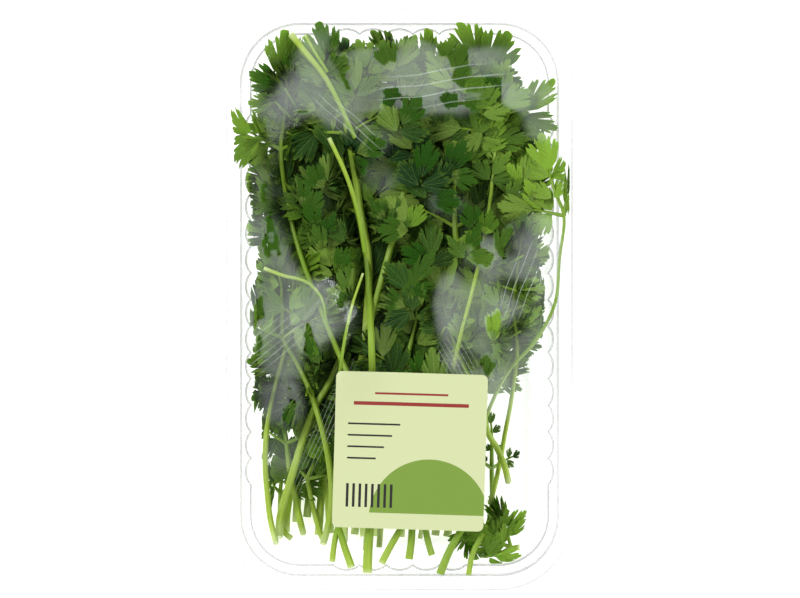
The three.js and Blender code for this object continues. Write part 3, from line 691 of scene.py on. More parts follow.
    def _fill(self) -> None:
        """Adds lesser hands, each where the leaves so far are thinnest of some places tried.

        A grid of places counts the leaves over each. The wanted cover falls off towards the cut ends and in
        the thin corner. A hand goes to the frond with the nearest fork, where a fork that is nearer to the
        tips counts as further off, and it points away from that fork.
        """
        rng = np.random.default_rng(FILL_SEED)
        x, y = np.meshgrid(np.arange(-60, 61, 2.0), np.arange(-68, 108, 2.0))
        distance, _, _ = past_wall(x, y, WALL_INSET - 0.5)
        wanted = np.where(distance < 0, smoothstep(y - 0.3 * x, *self.LEAFY_FROM), 0)
        wanted *= smoothstep(self.THIN_CORNER[0] * x + self.THIN_CORNER[1] * y, *self.THIN_FROM)
        cover = np.where(wanted > 0, 0.0, 9.0)

        def lay(hand: Hand) -> None:
            """Counts a hand's leaves."""
            middle_x, middle_y = hand.place(np.array(0.4), np.array(0.0))
            cover[np.hypot(x - middle_x, y - middle_y) < 0.5 * hand.size] += 1

        for frond in self.fronds:
            for hand in frond.hands:
                lay(hand)
        forks = np.array([frond.stalk[-1] for frond in self.fronds[:LAID_FRONDS]])
        for k in range(self.LESSER_HANDS):
            tried = rng.integers(x.size, size=self.PLACES_TRIED)
            place = np.stack([x.flat[tried], y.flat[tried]], -1)
            apart_x, apart_y = (axis[None] - part[:, None, None] for axis, part in zip((x, y), place.T))
            near = np.hypot(apart_x, apart_y) < self.NEAR
            thin = np.where(near, cover, 0).sum((1, 2)) / near.sum((1, 2))
            place = place[(thin / np.maximum(wanted.flat[tried], 0.05)).argmin()]
            apart = np.linalg.norm(forks - place, axis=1) + 1.2 * np.maximum(forks[:, 1] - place[1], 0)
            frond = self.fronds[int(apart.argmin())]
            away = place - frond.stalk[-1]
            heading = math.degrees(math.atan2(away[0], away[1] + 14)) + rng.uniform(-35, 35)
            size = rng.uniform(*self.LESSER_SIZES)
            way = math.radians(heading)
            origin = (place[0] - 0.4 * size * math.sin(way), place[1] - 0.4 * size * math.cos(way))
            hand = Hand(origin, heading, size)
            lay(hand)
            levels = self.UPPER_LEVELS if k < self.UPPER_HANDS else self.LOWER_LEVELS
            frond.lesser.append((hand, rng.uniform(*levels)))

    def _laid(self) -> None:
        """The fronds under the top layer, their forks spread over the leafy end in columns and rows."""
        draw = self.draws.between
        for k in range(LAID_FRONDS):
            column, row = k % len(self.COLUMNS), k // len(self.COLUMNS)
            fork = (self.COLUMNS[column] + draw(-9, 9), self.ROWS[k % len(self.ROWS)] + draw(-9, 9))
            slot = column * math.ceil(LAID_FRONDS / len(self.COLUMNS)) + row
            base = (-46 + slot * STALK_SPACING + draw(-1, 1), draw(-100, -84))
            bow = draw(-3, 3)
            between = [
                (base[0] + (fork[0] - base[0]) * s + bow, base[1] + (fork[1] - base[1]) * t)
                for s, t in ((0.3, 0.4), (0.7, 0.75))
            ]
            self._frond([base, *between, fork], 0.5 * fork[0] + draw(-16, 16))

    def _clear_heading(self, fork: Point, wanted: float, reach: float, outset: float) -> float:
        """The heading of a branch that is turned away from the tray's wall where that pays.

        Args:
            fork: Where the branch starts.
            wanted: The heading it would have.
            reach: How far off the middle of its hand is.
            outset: How far outside the wall it may be.

        Returns:
            The heading that costs least, counting degrees turned and millimetres past the wall.
        """
        half_x = TRAY_WIDTH / 2 - FOOT_INSET - TRAY_WALL - WALL_CLEARANCE + outset - HAND_ROOM
        half_y = half_x + (TRAY_LENGTH - TRAY_WIDTH) / 2

        def cost(turn: float) -> float:
            """Works out the cost of one turn.

            Args:
                turn: The turn, in degrees.

            Returns:
                The cost.
            """
            heading = math.radians(wanted + turn)
            past_x = abs(fork[0] + reach * math.sin(heading)) - half_x
            past_y = abs(fork[1] + reach * math.cos(heading)) - half_y
            return max(past_x, past_y, 0) * WALL_WEIGHT + abs(turn)

        return wanted + min(TURNS, key=cost)

    def _frond(
        self,
        stalk: list[Point],
        heading: float,
        size: float = 1.0,
        rachis: float = 1.0,
        over_rim: bool = False,
        name: str = "",
        sunk: float = 0.0,
        tone: float = 0.0,
        leafage: float = 1.0,
        slender: float = 1.0,
        covered: bool = False,
    ) -> None:
        """Adds one frond, with a hand at the end of its rachis and one to each side.

        Args:
            stalk: The knots of the stalk.
            heading: The heading of the rachis.
            size: The scale of its leaves.
            rachis: The length of the rachis as a share of the usual.
            over_rim: Whether its leaves lie over the tray's rim.
            name: The name of its node, if it isn't numbered.
            sunk: How far its cut end dives.
            tone: How much paler it is than the usual.
            leafage: The size of its leaflets as a share of the usual.
            slender: The radius of its stalk as a share of the usual.
            covered: Whether lesser leaves may lie over its stalk.
        """
        draw = self.draws.between
        fork = stalk[-1]
        hands = []
        for angle in (0, SIDE_BRANCH_ANGLE, -SIDE_BRANCH_ANGLE):
            wanted = heading + angle + draw(-9, 9)
            usual = RACHIS_LENGTH * rachis if angle == 0 else SIDE_BRANCH_LENGTH
            length = usual * size * draw(0.9, 1.15)
            reach = length + size * HAND_SIZE / 2
            turned = self._clear_heading(fork, wanted, reach, WALL_INSET if over_rim else 0)
            way = math.radians(turned)
            end = (fork[0] + length * math.sin(way), fork[1] + length * math.cos(way))
            grown = (HAND_SIZE if angle == 0 else SIDE_HAND_SIZE) * size * draw(0.88, 1.08)
            hands.append(Hand(end, turned + draw(-12, 12), grown))
            for low, high in self.OTHER_DRAWS:
                draw(low, high)
        name = name or f"frond_{len(self.fronds) + 1:02d}"
        traits = (size, over_rim, sunk, tone, leafage, slender, covered)
        self.fronds.append(Frond(name, np.array(stalk, float), hands, *traits))


# ---- The parsley -----------------------------------------------------------------------------


class Cut(Enum):
    """How a leaflet is cut: how far out its edge is at each place across one half of its fan."""

    BROAD = (1.0, 0.96, 0.83, 0.93, 0.86, 0.53, 0.82, 0.9, 0.76, 0.84, 0.7, 0.34)
    LOBED = (1.0, 0.95, 0.79, 0.9, 0.8, 0.42, 0.75, 0.85, 0.69, 0.78, 0.6, 0.28)
    NARROW = (1.0, 0.93, 0.78, 0.83, 0.7, 0.44, 0.66, 0.74, 0.6, 0.64, 0.46, 0.22)


@dataclass(frozen=True)
class LeafletShape:
    """The flat shape of a leaflet: a wedge of three lobes, each with two or three rounded teeth."""

    cut: Cut
    fan: float = 47.0
    places: ClassVar[Array] = np.array(
        (0.045, 0.115, 0.155, 0.22, 0.28, 0.325, 0.385, 0.48, 0.545, 0.62, 0.74, 1.0)
    )
    rows: ClassVar[Array] = np.array((0.03, 0.42, 0.76, 1.0))

    def share(self) -> Array:
        """The columns' places across the fan, from -1 to 1."""
        return np.concatenate([-self.places[::-1], self.places])

    def grid(self, rng: np.random.Generator) -> tuple[Array, Array, Array]:
        """The leaflet's points for a length of 1, its teeth varied a little.

        A point is r * cos(angle) along and r * sin(angle) across, where r is the row's share of the edge's
        distance, and the angle is the column's share of half the fan.

        Args:
            rng: The source of the variation.

        Returns:
            How far along, how far across, and r, each (rows, columns).
        """
        half = np.array(self.cut.value)
        edge = np.concatenate([half[::-1], half]) * rng.uniform(0.96, 1.03, 2 * len(half))
        radius = self.rows[:, None] * edge
        angle = np.radians(self.fan) * self.share()
        return radius * np.cos(angle), radius * np.sin(angle), radius


# For a hand of length 1: the along and across of a leaflet's base, its angle in degrees and its length.
Leaflet = tuple[float, float, float, float]


@dataclass
class FrondMaker:
    """Builds one frond on the heights of its node in the frame.

    Nothing gets past the underside of the film. The ceiling is the same, but lower under the stalks on top,
    and lesser leaves stay beneath it. The random source gives the fine differences between leaves. Each
    place of painted backlight is its middle, its reach across and along, and its strength.
    """

    LEAF: ClassVar[int] = 0
    STALK: ClassVar[int] = 1

    frond: Frond
    under_film: HeightField
    ceiling: HeightField
    rng: np.random.Generator
    blade: float = 0.28
    lift: float = 0.9
    lesser_margin: float = 2.0
    lesser_outsets: Point = (-2.0, 4.2)
    turned_share: float = 0.34
    pressed_share: float = 0.42
    press_reach: float = 7.0
    press_gap: float = 0.3
    unpressed: float = 0.15
    cut_shares: Triple = (0.45, 0.35, 0.2)
    pair_share: float = 0.85
    heart: float = 0.12
    # Painted backlight: leaves are painted as if lit from behind towards the wall and in these ellipses.
    painted_backlight_edge: Point = (-11, 1)
    painted_backlight_places: tuple[tuple[float, float, float, float, float], ...] = (
        (42, -8, 26, 36, 1.1),
        (48, 70, 20, 30, 0.9),
        (50, 36, 18, 28, 0.4),
        (-46, -80, 20, 26, 0.7),
        (-42, -4, 20, 30, 0.85),
        (40, -94, 34, 20, 1.1),
        (10, 84, 60, 14, 0.5),
    )
    stem_sides: int = 10
    ribs: int = 5
    step: float = 3.0
    lesser_outset: float = 0.0
    tops: list[Array] = field(default_factory=list)
    known: Array = field(init=False)
    on_top: bool = field(init=False)
    surface: Surface = field(init=False)
    tone: float = field(init=False)
    shapes: list[LeafletShape] = field(init=False)

    def __post_init__(self) -> None:
        """Reads the node's points, and draws the frond's tone."""
        self.known = node_points(self.frond.name)
        self.on_top = len(self.frond.stalk) > LAID_KNOTS
        self.surface = Surface(f"parsley_{self.frond.name}")
        self.tone = self.rng.uniform(-0.5, 0.5) + self.frond.tone
        self.shapes = [LeafletShape(cut) for cut in Cut]

    def kept(self, x: Array, y: Array, margin: float) -> tuple[Array, Array, Array]:
        """Brings places inside the tray, as the frame's were.

        Args:
            x: Places across the tray.
            y: Places along it.
            margin: The margin inside the wall that takes up what would go past it.

        Returns:
            The places moved, as x and y, and how far each has moved.
        """
        flat = np.stack([x.ravel(), y.ravel()], -1)
        lesser = margin == self.lesser_margin
        if self.frond.over_rim or lesser:
            z = np.full(x.shape, RIM)
        else:
            z = nearest_height(self.known, flat, 2).reshape(x.shape)
        return keep_inside(x, y, z, self.lesser_outset if lesser else self.frond.outset, margin)

    def held(self, x: Array, y: Array, z: Array, room: float) -> Array:
        """Heights kept between the tray and the film, with room for half a thickness."""
        floor = np.minimum(wall_height(x, y), LEDGE + 1)
        return np.minimum(np.maximum(z, floor + room), self.under_film.at(x, y) - room)

    def beneath(self, x: Array, y: Array, z: Array) -> Array:
        """Heights kept beneath the stalks that lie on top of the bunch."""
        return np.minimum(z, np.maximum(self.ceiling.at(x, y), wall_height(x, y) + 0.5))

    # The stems.

    def stem(self, path: Array, radii: Array, start: float, end: float) -> None:
        """Adds a ribbed tube along a path, closed at both ends.

        A point is the path's, plus across * cos(a) * r + rise * sin(a) * r, where r is the radius with a
        few low ribs, and one deeper channel on the upper side.

        Args:
            path: Points along the middle, (points, 3).
            radii: The radius at each.
            start: How far along the frond it starts, from 0 at the cut end to 1 at the leaves.
            end: How far along it ends.
        """
        run = np.concatenate([[0], np.cumsum(np.linalg.norm(np.diff(path, axis=0), axis=1))])
        steps = max(int(run[-1] / self.step), 3)
        middle = catmull_rom(path, steps)
        radius = np.interp(np.linspace(0, run[-1], steps + 1), run, radii)
        along = np.gradient(middle, axis=0)
        along /= np.linalg.norm(along, axis=1, keepdims=True)
        across = np.cross(along, [0, 0, 1])
        across /= np.maximum(np.linalg.norm(across, axis=1, keepdims=True), 1e-6)
        rise = np.cross(across, along)
        turn = np.linspace(0, 2 * np.pi, self.stem_sides, endpoint=False)
        ribbed = 1 + 0.06 * np.cos(self.ribs * turn)
        channel = 1 - 0.1 * np.exp(-(((turn - np.pi / 2) / 0.4) ** 2))
        spoke = radius[:, None] * ribbed * channel
        middle[:, 2] = self.held(middle[:, 0], middle[:, 1], middle[:, 2], 1.0)
        ring = (
            middle[:, None]
            + (spoke * np.cos(turn))[..., None] * across[:, None]
            + (spoke * np.sin(turn))[..., None] * rise[:, None]
        )
        points = np.concatenate([ring.reshape(-1, 3), middle[[0, -1]]])
        faces = grid_faces(steps + 1, self.stem_sides, wrap=True)[:, ::-1]
        share = np.repeat(np.linspace(start, end, steps + 1), self.stem_sides)
        share = np.concatenate([share, [start, end]])
        around = np.concatenate([np.tile(np.cos(self.ribs * turn), steps + 1), [0, 0]])
        cut = np.zeros(len(points))
        cut[-2] = 1.0 if start == 0 else 0.0
        self.surface.add(points, faces, self.STALK, along=share, rib=around, cut=cut, tone=self.tone)
        count = self.stem_sides
        base = self.surface.count - len(points)
        ends = ((0, len(points) - 2, 1), (steps * count, len(points) - 1, -1))
        for first, centre, way in ends:
            near = np.arange(count)
            fan = np.stack([first + near, first + (near + way) % count, np.full(count, centre)], -1)
            self.surface.faces.extend((fan + base).tolist())
            self.surface.finishes.extend([self.STALK] * count)

    def stalk_path(self) -> Array:
        """Lays the middle of the stalk, from the cut end to the fork, on the frame's heights.

        Returns:
            The points, (points, 3).
        """
        plan = catmull_rom(self.frond.stalk, STALK_STEPS)
        x, y, _ = self.kept(plan[:, 0], plan[:, 1], STALK_WALL_MARGIN)
        z = nearest_height(self.known, np.stack([x, y], -1), 4)
        sunk = np.maximum(1 - np.linspace(0, 2, len(z)), 0) * self.frond.sunk
        return np.stack([x, y, z - sunk], -1)

    # The leaves.

    def drape(self, hand: Hand) -> Array:
        """Fits the frame's blade: its height less what the wall turns up, by least squares.

        Args:
            hand: The hand.

        Returns:
            The coefficients of 1, a, b, a*a, a*b and b*b.
        """
        angles = np.radians([-58, 0, 58])
        reach = np.array([0.84, 1, 0.84])
        wedge = np.array([(0.62, -0.29), (0.72, -0.15), (1, 0), (0.72, 0.15), (0.62, 0.29)])
        c, s = np.cos(angles)[:, None], np.sin(angles)[:, None]
        a = reach[:, None] * (wedge[:, 0] * c - wedge[:, 1] * s)
        b = reach[:, None] * (wedge[:, 0] * s + wedge[:, 1] * c)
        a = np.concatenate([[-0.1, -0.1], a.ravel()])
        b = np.concatenate([[-0.05, 0.05], b.ravel()])
        x, y, moved = self.kept(*hand.place(a, b), WALL_MARGIN)
        z = nearest_height(self.known, np.stack([x, y], -1), 2) - self.turned_up(moved)
        terms = np.stack([np.ones_like(a), a, b, a * a, a * b, b * b], -1)
        ridge = np.diag([0, 0.02, 0.02, 0.3, 0.3, 0.3])
        return np.linalg.solve(terms.T @ terms + ridge, terms.T @ z)

    def turned_up(self, moved: Array) -> Array:
        """How far the wall turns a leaf up that it has moved inwards."""
        return 0 * moved if self.frond.over_rim else TURNED_UP * moved

    def leaflets(self, hand: Hand, form: Array, placed: list[Leaflet], margin: float = WALL_MARGIN) -> None:
        """Adds leaflets of a hand, draped on its form, each tilted, folded along its rib and rippled.

        A leaflet's height is the form's, plus what the wall turns up, plus its size times the sum of a tilt
        along and across, a fold |v|, a curl u^2 and a ripple sin(k v / u) u. Some that have the film close
        above them rise to it, but for their base.

        Args:
            hand: The hand.
            form: Its fitted form.
            placed: The leaflets, for a hand of length 1.
            margin: The margin inside the wall that takes up what would go past it.
        """
        rng = self.rng
        for base_a, base_b, angle, length in placed:
            shape = self.shapes[rng.choice(len(self.shapes), p=self.cut_shares)]
            u, v, radius = shape.grid(rng)
            length *= self.frond.leafage
            v = v * rng.uniform(0.85, 1.1)
            skew = rng.uniform(-0.1, 0.1)
            u, v = u + skew * v * v, v + skew * u * u
            way = math.radians(angle)
            a = base_a + length * (u * math.cos(way) - v * math.sin(way))
            b = base_b + length * (u * math.sin(way) + v * math.cos(way))
            x, y, moved = self.kept(*hand.place(a, b), margin)
            in_a, in_b = np.clip(a, -0.6, 1.1), np.clip(b, -0.9, 0.9)
            terms = np.stack([np.ones_like(a), in_a, in_b, in_a**2, in_a * in_b, in_b**2], -1)
            size = hand.size * length
            tilt = rng.uniform(-0.12, 0.2) * u + rng.uniform(-0.22, 0.22) * v
            fold = rng.uniform(-0.15, 0.4) * np.abs(v)
            curl = rng.uniform(-0.24, 0.12) * u * u
            ripple = 0.05 * np.sin(rng.uniform(5, 8) * v / np.maximum(u, 0.3) + rng.uniform(0, 6)) * u
            z = terms @ form + self.turned_up(moved) + size * (tilt + fold + curl + ripple) + self.lift
            z = self.held(x, y, z, 0.25)
            room = self.under_film.at(x, y) - self.press_gap - z
            turn = (len(self.tops) * GOLDEN) % 1
            pressed = turn < self.pressed_share and room.mean() < self.press_reach
            if pressed:
                z = z + np.maximum(room, 0) * smoothstep(radius, 0.0, 0.4)
            grid = np.stack([x, y, z if self.on_top and not pressed else self.beneath(x, y, z)], -1)
            self.tops.append(grid)
            self.add_leaflet(shape, grid, radius, pressed)

    def add_leaflet(self, shape: LeafletShape, grid: Array, radius: Array, pressed: bool) -> None:
        """Adds the two skins of a leaflet, with the values that its finish reads.

        Args:
            shape: Its flat shape.
            grid: Its middle, (rows, columns, 3).
            radius: How far out each point is, for a length of 1.
            pressed: Whether it is pressed to the film.
        """
        rng = self.rng
        x, y, z = np.moveaxis(grid, -1, 0)
        rows, columns = x.shape
        inner = (slice(1, -1), slice(1, -1))
        faced = 1.0 if rng.uniform() < self.turned_share else 0.0
        spread = {
            "edge": np.broadcast_to(shape.rows[:, None], x.shape),
            "across": np.broadcast_to(shape.share(), x.shape),
            "out": radius,
            "gap": self.under_film.at(x, y) - z,
            # Painted backlight: where the finish paints the leaf as if lit from behind.
            "lit": self.painted_light_through(x, y) * rng.uniform(0.3, 1),
        }
        values = {key: np.concatenate([part.ravel(), part[inner].ravel()]) for key, part in spread.items()}
        values["under"] = np.repeat([faced, 1 - faced], [rows * columns, (rows - 2) * (columns - 2)])
        values["tone"] = self.tone + rng.uniform(-0.5, 0.5)
        values["pressed"] = 1.0 if pressed else self.unpressed
        self.surface.add(leaf_skins(grid, self.blade), leaf_faces(rows, columns), self.LEAF, **values)

    def painted_light_through(self, x: Array, y: Array) -> Array:
        """How much light coming through the leaves is painted on them at some places.

        It rises towards the tray's wall, and towards the middle of each place of painted backlight as
        exp(-u^2 - v^2) for the shares u and v of its reach across and along.

        Args:
            x: Places across the tray.
            y: Places along it.

        Returns:
            The light, 0 where there is none.
        """
        lit = smoothstep(past_wall(x, y, WALL_INSET)[0], *self.painted_backlight_edge)
        for cx, cy, wide, long, strength in self.painted_backlight_places:
            lit = np.maximum(lit, strength * np.exp(-(((x - cx) / wide) ** 2) - ((y - cy) / long) ** 2))
        return lit

    def hand_leaflets(self) -> list[Leaflet]:
        """Draws the leaflets at the end of a branch: one ahead on a short stem, and one to each side.

        Returns:
            The leaflets, for a hand of length 1.
        """
        rng = self.rng
        sides = [
            (rng.uniform(-0.14, -0.06), 0.02 * s, s * rng.uniform(54, 70), rng.uniform(0.64, 0.8))
            for s in (-1, 1)
        ]
        return [(0.06, 0.0, rng.uniform(-7, 7), rng.uniform(0.78, 0.92)), *sides]

    def branch(self, fork: Array, hand: Hand, radii: Triple, before: Array | None = None) -> None:
        """Adds a branch from the fork with its hand, and a pair of lesser leaflets half-way along.

        Args:
            fork: Where it starts.
            hand: The hand at its end.
            radii: The radius at its start, middle and end.
            before: The stalk that it carries on from, if it is the rachis.
        """
        form = self.drape(hand)
        ends = hand.place(np.array([-0.1, self.heart]), np.zeros(2))
        neck_x, neck_y, _ = self.kept(*ends, WALL_MARGIN)
        neck_z = nearest_height(self.known, np.stack([neck_x, neck_y], -1), 2)
        neck_z[1] = form @ [1, self.heart, 0, self.heart**2, 0, 0] + 0.2
        neck, heart = np.stack([neck_x, neck_y, neck_z], -1)
        half = (fork + neck) / 2
        if before is None:
            self.stem(np.stack([fork, half, neck, heart]), np.array([*radii, radii[2] * 0.7]), 0.75, 1.0)
        else:
            thickness = self.frond.size * self.frond.slender
            stalk_radii = thickness * np.linspace(STALK_RADIUS, FORK_RADIUS, len(before))
            path = np.vstack([before, half, neck, heart])
            self.stem(path, np.array([*stalk_radii, *radii[1:], radii[2] * 0.7]), 0.0, 1.0)
        self.leaflets(hand, form, self.hand_leaflets())
        back = -np.linalg.norm(neck[:2] - half[:2]) / hand.size - 0.1
        pair = [
            (back, 0.03 * s, s * self.rng.uniform(48, 62), self.rng.uniform(0.5, 0.66))
            for s in (-1, 1)
            if self.rng.uniform() < self.pair_share
        ]
        self.leaflets(hand, form, pair)

    def lesser_branch(self, stalk: Array, hand: Hand, level: float) -> None:
        """Adds a thin branch with a lesser hand, at its share of the height from the floor to the film.

        Args:
            stalk: The middle of the stalk that it leaves.
            hand: The hand.
            level: The share.
        """
        self.lesser_outset = self.rng.uniform(*self.lesser_outsets)
        origin = hand.place(np.array(0.0), np.array(0.0))
        x, y, _ = keep_inside(*origin, np.array(LEDGE), 0, self.lesser_margin)
        floor = wall_height(x, y)
        height = floor + (self.under_film.at(x, y) - floor) * level
        self.leaflets(hand, np.array([height, 0, 0, 0, 0, 0]), self.hand_leaflets(), self.lesser_margin)
        start = stalk[-1] * 0.8 + stalk[-2] * 0.2
        end = np.array([float(x), float(y), float(height) - 0.5])
        half = (start + end) / 2 + [0, 0, -1]
        self.stem(np.stack([start, half, end]), np.array([0.6, 0.5, 0.35]), 0.8, 1.0)

    def stray(self, stray: Stray) -> None:
        """Adds a bare length of stalk just under the film.

        Args:
            stray: The plan of the length.
        """
        plan = catmull_rom(np.array(stray.knots, float), 8)
        z = self.under_film.at(plan[:, 0], plan[:, 1]) - stray.thick - stray.depth
        path = np.column_stack([plan, z])
        self.stem(path, np.linspace(stray.thick, stray.thin, len(path)), stray.start, 0.9)

    def make(self, finishes: list[bpy.types.Material], strays: Iterable[Stray] = ()) -> bpy.types.Object:
        """Builds the whole frond.

        Args:
            finishes: The leaf's and the stalk's materials.
            strays: Bare lengths of stalk that belong to the same piece.

        Returns:
            The finished piece.
        """
        stalk = self.stalk_path()
        middle, *sides = self.frond.hands
        self.branch(stalk[-1], middle, (FORK_RADIUS, RACHIS_RADIUS * 0.8, 0.5), stalk)
        for hand in sides:
            self.branch(stalk[-1], hand, (SIDE_BRANCH_RADIUS, SIDE_BRANCH_RADIUS * 0.8, 0.45))
        for hand, level in self.frond.lesser:
            self.lesser_branch(stalk, hand, level)
        for stray in strays:
            self.stray(stray)
        return self.surface.build(finishes, "parsley", self.frond.name)


@dataclass(frozen=True)
class Ceiling:
    """How far lesser leaves stay beneath the stalks that lie on top of the bunch, in millimetres.

    Away from a stalk they may rise by the slope, and beyond the reach they stay beneath the film alone.
    """

    below_stalk: float = 1.9
    below_stray: float = 0.2
    reach: float = 5.0
    slope: float = 0.5

    def lines(self, plan: BunchPlan, under_film: HeightField) -> Array:
        """Points just beneath the stalks and strays that lie on top, (points, 3).

        Args:
            plan: The plan of the bunch.
            under_film: The underside of the film.

        Returns:
            The points.
        """
        lines = []
        for frond in plan.fronds:
            if len(frond.stalk) <= LAID_KNOTS or frond.covered:
                continue
            course = catmull_rom(np.vstack([frond.stalk, frond.hands[0].origin]), 60)
            rim = np.full(len(course), RIM)
            x, y, _ = keep_inside(course[:, 0], course[:, 1], rim, frond.outset, STALK_WALL_MARGIN)
            level = nearest_height(node_points(frond.name), np.stack([x, y], -1), 4)
            lines.append(np.column_stack([x, y, level - self.below_stalk]))
        for stray in plan.STRAYS:
            course = catmull_rom(np.array(stray.knots, float), 30)
            level = under_film.at(course[:, 0], course[:, 1]) - stray.thick - stray.depth
            lines.append(np.column_stack([course, level - stray.thick - self.below_stray]))
        return np.concatenate(lines)

    def make(self, plan: BunchPlan, under_film: HeightField) -> HeightField:
        """The film's underside, brought down to an upright cone from each point beneath a stalk.

        Args:
            plan: The plan of the bunch.
            under_film: The underside of the film.

        Returns:
            The heights that lesser leaves stay beneath.
        """
        heights = under_film.heights.copy()
        across = np.arange(-HeightField.REACH_X, HeightField.REACH_X + 1)
        x, y = np.meshgrid(across, np.arange(-HeightField.REACH_Y, HeightField.REACH_Y + 1))
        for px, py, pz in self.lines(plan, under_film):
            apart = np.hypot(x - px, y - py)
            near = apart < self.reach
            heights[near] = np.minimum(heights[near], pz + self.slope * apart[near])
        return HeightField(heights)


def leaf_tops(grids: Array) -> HeightField:
    """The tops of all the leaflets, each filled in between its points.

    Args:
        grids: The leaflets' points, (leaflets, rows, columns, 3).

    Returns:
        The heights, the tray's floor where there is no leaf.
    """
    steps = np.linspace(0, 1, 5)[:-1, None, None, None]
    dense = [grids[:, :-1] * (1 - t) + grids[:, 1:] * t for t in steps]
    rows = np.stack(dense, 2).reshape(len(grids), -1, *grids.shape[2:])
    dense = [rows[:, :, :-1] * (1 - t) + rows[:, :, 1:] * t for t in steps[:, 0]]
    return HeightField.tops(np.concatenate(dense).reshape(-1, 3), FLOOR)


# ---- The pack --------------------------------------------------------------------------------


@dataclass(frozen=True)
class Outline:
    """The tray's outline in plan, with enough points on each side for its flutes."""

    SIDES: ClassVar[tuple[tuple[int, int, int], ...]] = (
        (1, 1, SHORT_SIDE_FLUTES),
        (-1, 1, LONG_SIDE_FLUTES),
        (-1, -1, SHORT_SIDE_FLUTES),
        (1, -1, LONG_SIDE_FLUTES),
    )
    FULLNESS: ClassVar[float] = 0.7
    STRAIGHT_SHARE: ClassVar[float] = 0.97

    corner_steps: int = 14
    flute_steps: int = 8

    def ring(self, inset: float, flute: float = 0.0) -> Array:
        """A rounded rectangle, inset from the rim, counter-clockwise from above.

        Its corners are arcs. On its straight sides a flute is depth * sin(pi s)^fullness outwards, for the
        share s of the way along it. Where the side is short, its flutes are narrower than the usual.

        Args:
            inset: How far inside the rim it is.
            flute: The depth of its flutes.

        Returns:
            Points in plan, (points, 2).
        """
        radius = max(TRAY_CORNER - inset, 1.0)
        half = np.array([TRAY_WIDTH / 2, TRAY_LENGTH / 2]) - inset
        points = []
        for k, (sign_x, sign_y, flutes) in enumerate(self.SIDES):
            turn = np.radians(90 * k + np.linspace(0, 90, self.corner_steps + 1))
            centre = np.array([sign_x, sign_y]) * (half - radius)
            points.append(centre + radius * np.stack([np.cos(turn), np.sin(turn)], -1))
            quarter = math.radians(90 * (k + 1))
            outward = np.array([math.cos(quarter), math.sin(quarter)])
            along = np.array([-outward[1], outward[0]])
            share = np.arange(flutes * self.flute_steps + 1) / self.flute_steps
            bulge = flute * np.abs(np.sin(np.pi * share)) ** self.FULLNESS
            reach = abs(outward @ half)
            straight = 2 * (half.sum() - reach - radius)
            place = (share - flutes / 2) * min(FLUTE_PITCH, self.STRAIGHT_SHARE * straight / flutes)
            points.append(place[:, None] * along + (reach + bulge)[:, None] * outward)
        return np.concatenate(points)


@dataclass(frozen=True)
class Tray:
    """The clear thermoformed tray: flange, band, ledge, fluted wall and floor, in one sheet.

    Each place of the lip and the band is its inset, its height above the rim or the ledge, and its
    sharpness of fold, which sets how strongly the finish paints a grey line of shade there.
    """

    sheet: float = 0.45
    lip: tuple[Triple, ...] = (
        (0.35, -2.2, 0.32),
        (0.35, -1.0, 0.32),
        (0.7, -0.45, 0.2),
        (1.6, -0.3, 0.01),
        (4.4, -0.3, 0.01),
    )
    band_top: tuple[Triple, ...] = ((5.3, -0.5, 0.02), (5.75, -1.1, 0.25), (5.95, -2.6, 0.5))
    band_foot: tuple[Triple, ...] = ((6.0, 1.2, 0.4), (6.2, 0.1, 0.1), (6.8, -0.4, 0.01))

    def profile(self) -> Array:
        """The sheet's section, from the lip in to the middle of the floor.

        Returns:
            The inset, height, depth of flute and sharpness of fold of each row, (rows, 4).
        """
        flange = [(inset, RIM + rise, 0.0, fold) for inset, rise, fold in self.lip + self.band_top]
        ledge = [(inset, LEDGE + rise, 0.0, fold) for inset, rise, fold in self.band_foot]
        top = [(WALL_INSET - 0.25, LEDGE - 0.45, 1.4, 0.05), (WALL_INSET, LEDGE - 0.55, FLUTE_DEPTH, 0.5)]
        bend = [
            (WALL_INSET + 0.3, LEDGE - 1.1, FLUTE_DEPTH, 0.45),
            (WALL_INSET + 0.5, LEDGE - 2.0, FLUTE_DEPTH, 0.05),
        ]
        share = np.linspace(0.12, 0.93, 8)
        inset = WALL_INSET + 0.3 + (FOOT_INSET - WALL_INSET) * share
        drop = (FLOOR - LEDGE) * share
        wall = np.stack([inset, LEDGE + drop, FLUTE_DEPTH - 0.7 * share, np.full(len(share), 0.02)], -1)
        foot = [(FOOT_INSET + 0.6, FLOOR + 0.3, 0.9, 0.12), (FOOT_INSET + 1.8, FLOOR - 0.35, 0.5, 0.1)]
        floor = [(inset, FLOOR - 0.4, 0.0, 0.0) for inset in (FOOT_INSET + 3.5, 26, 40, 64)]
        return np.vstack([flange, ledge, top, bend, wall, foot, floor])

    def make(self, finish: bpy.types.Material) -> bpy.types.Object:
        """Builds the tray: the section carried round the outline, as two skins joined at the lip.

        Args:
            finish: Its material.

        Returns:
            The finished piece.
        """
        outline = Outline()
        section = self.profile()
        rings = []
        for inset, z, flute, _ in section:
            plan = outline.ring(inset, flute)
            rings.append(np.column_stack([plan, np.full(len(plan), z)]))
        grid = np.stack(rings)
        closed = np.concatenate([grid[:, -1:], grid, grid[:, :1]], 1)
        normal = normals_of(closed)[:, 1:-1]
        upper, lower = grid + normal * self.sheet / 2, grid - normal * self.sheet / 2
        fold = np.repeat(section[:, 3], grid.shape[1])
        surface = Surface("tray_clear")
        surface.add_shell(np.concatenate([upper[::-1], lower]), fold=np.concatenate([fold[::-1], fold]))
        return surface.build([finish], "clear_tray", "tray", lets_light=True)


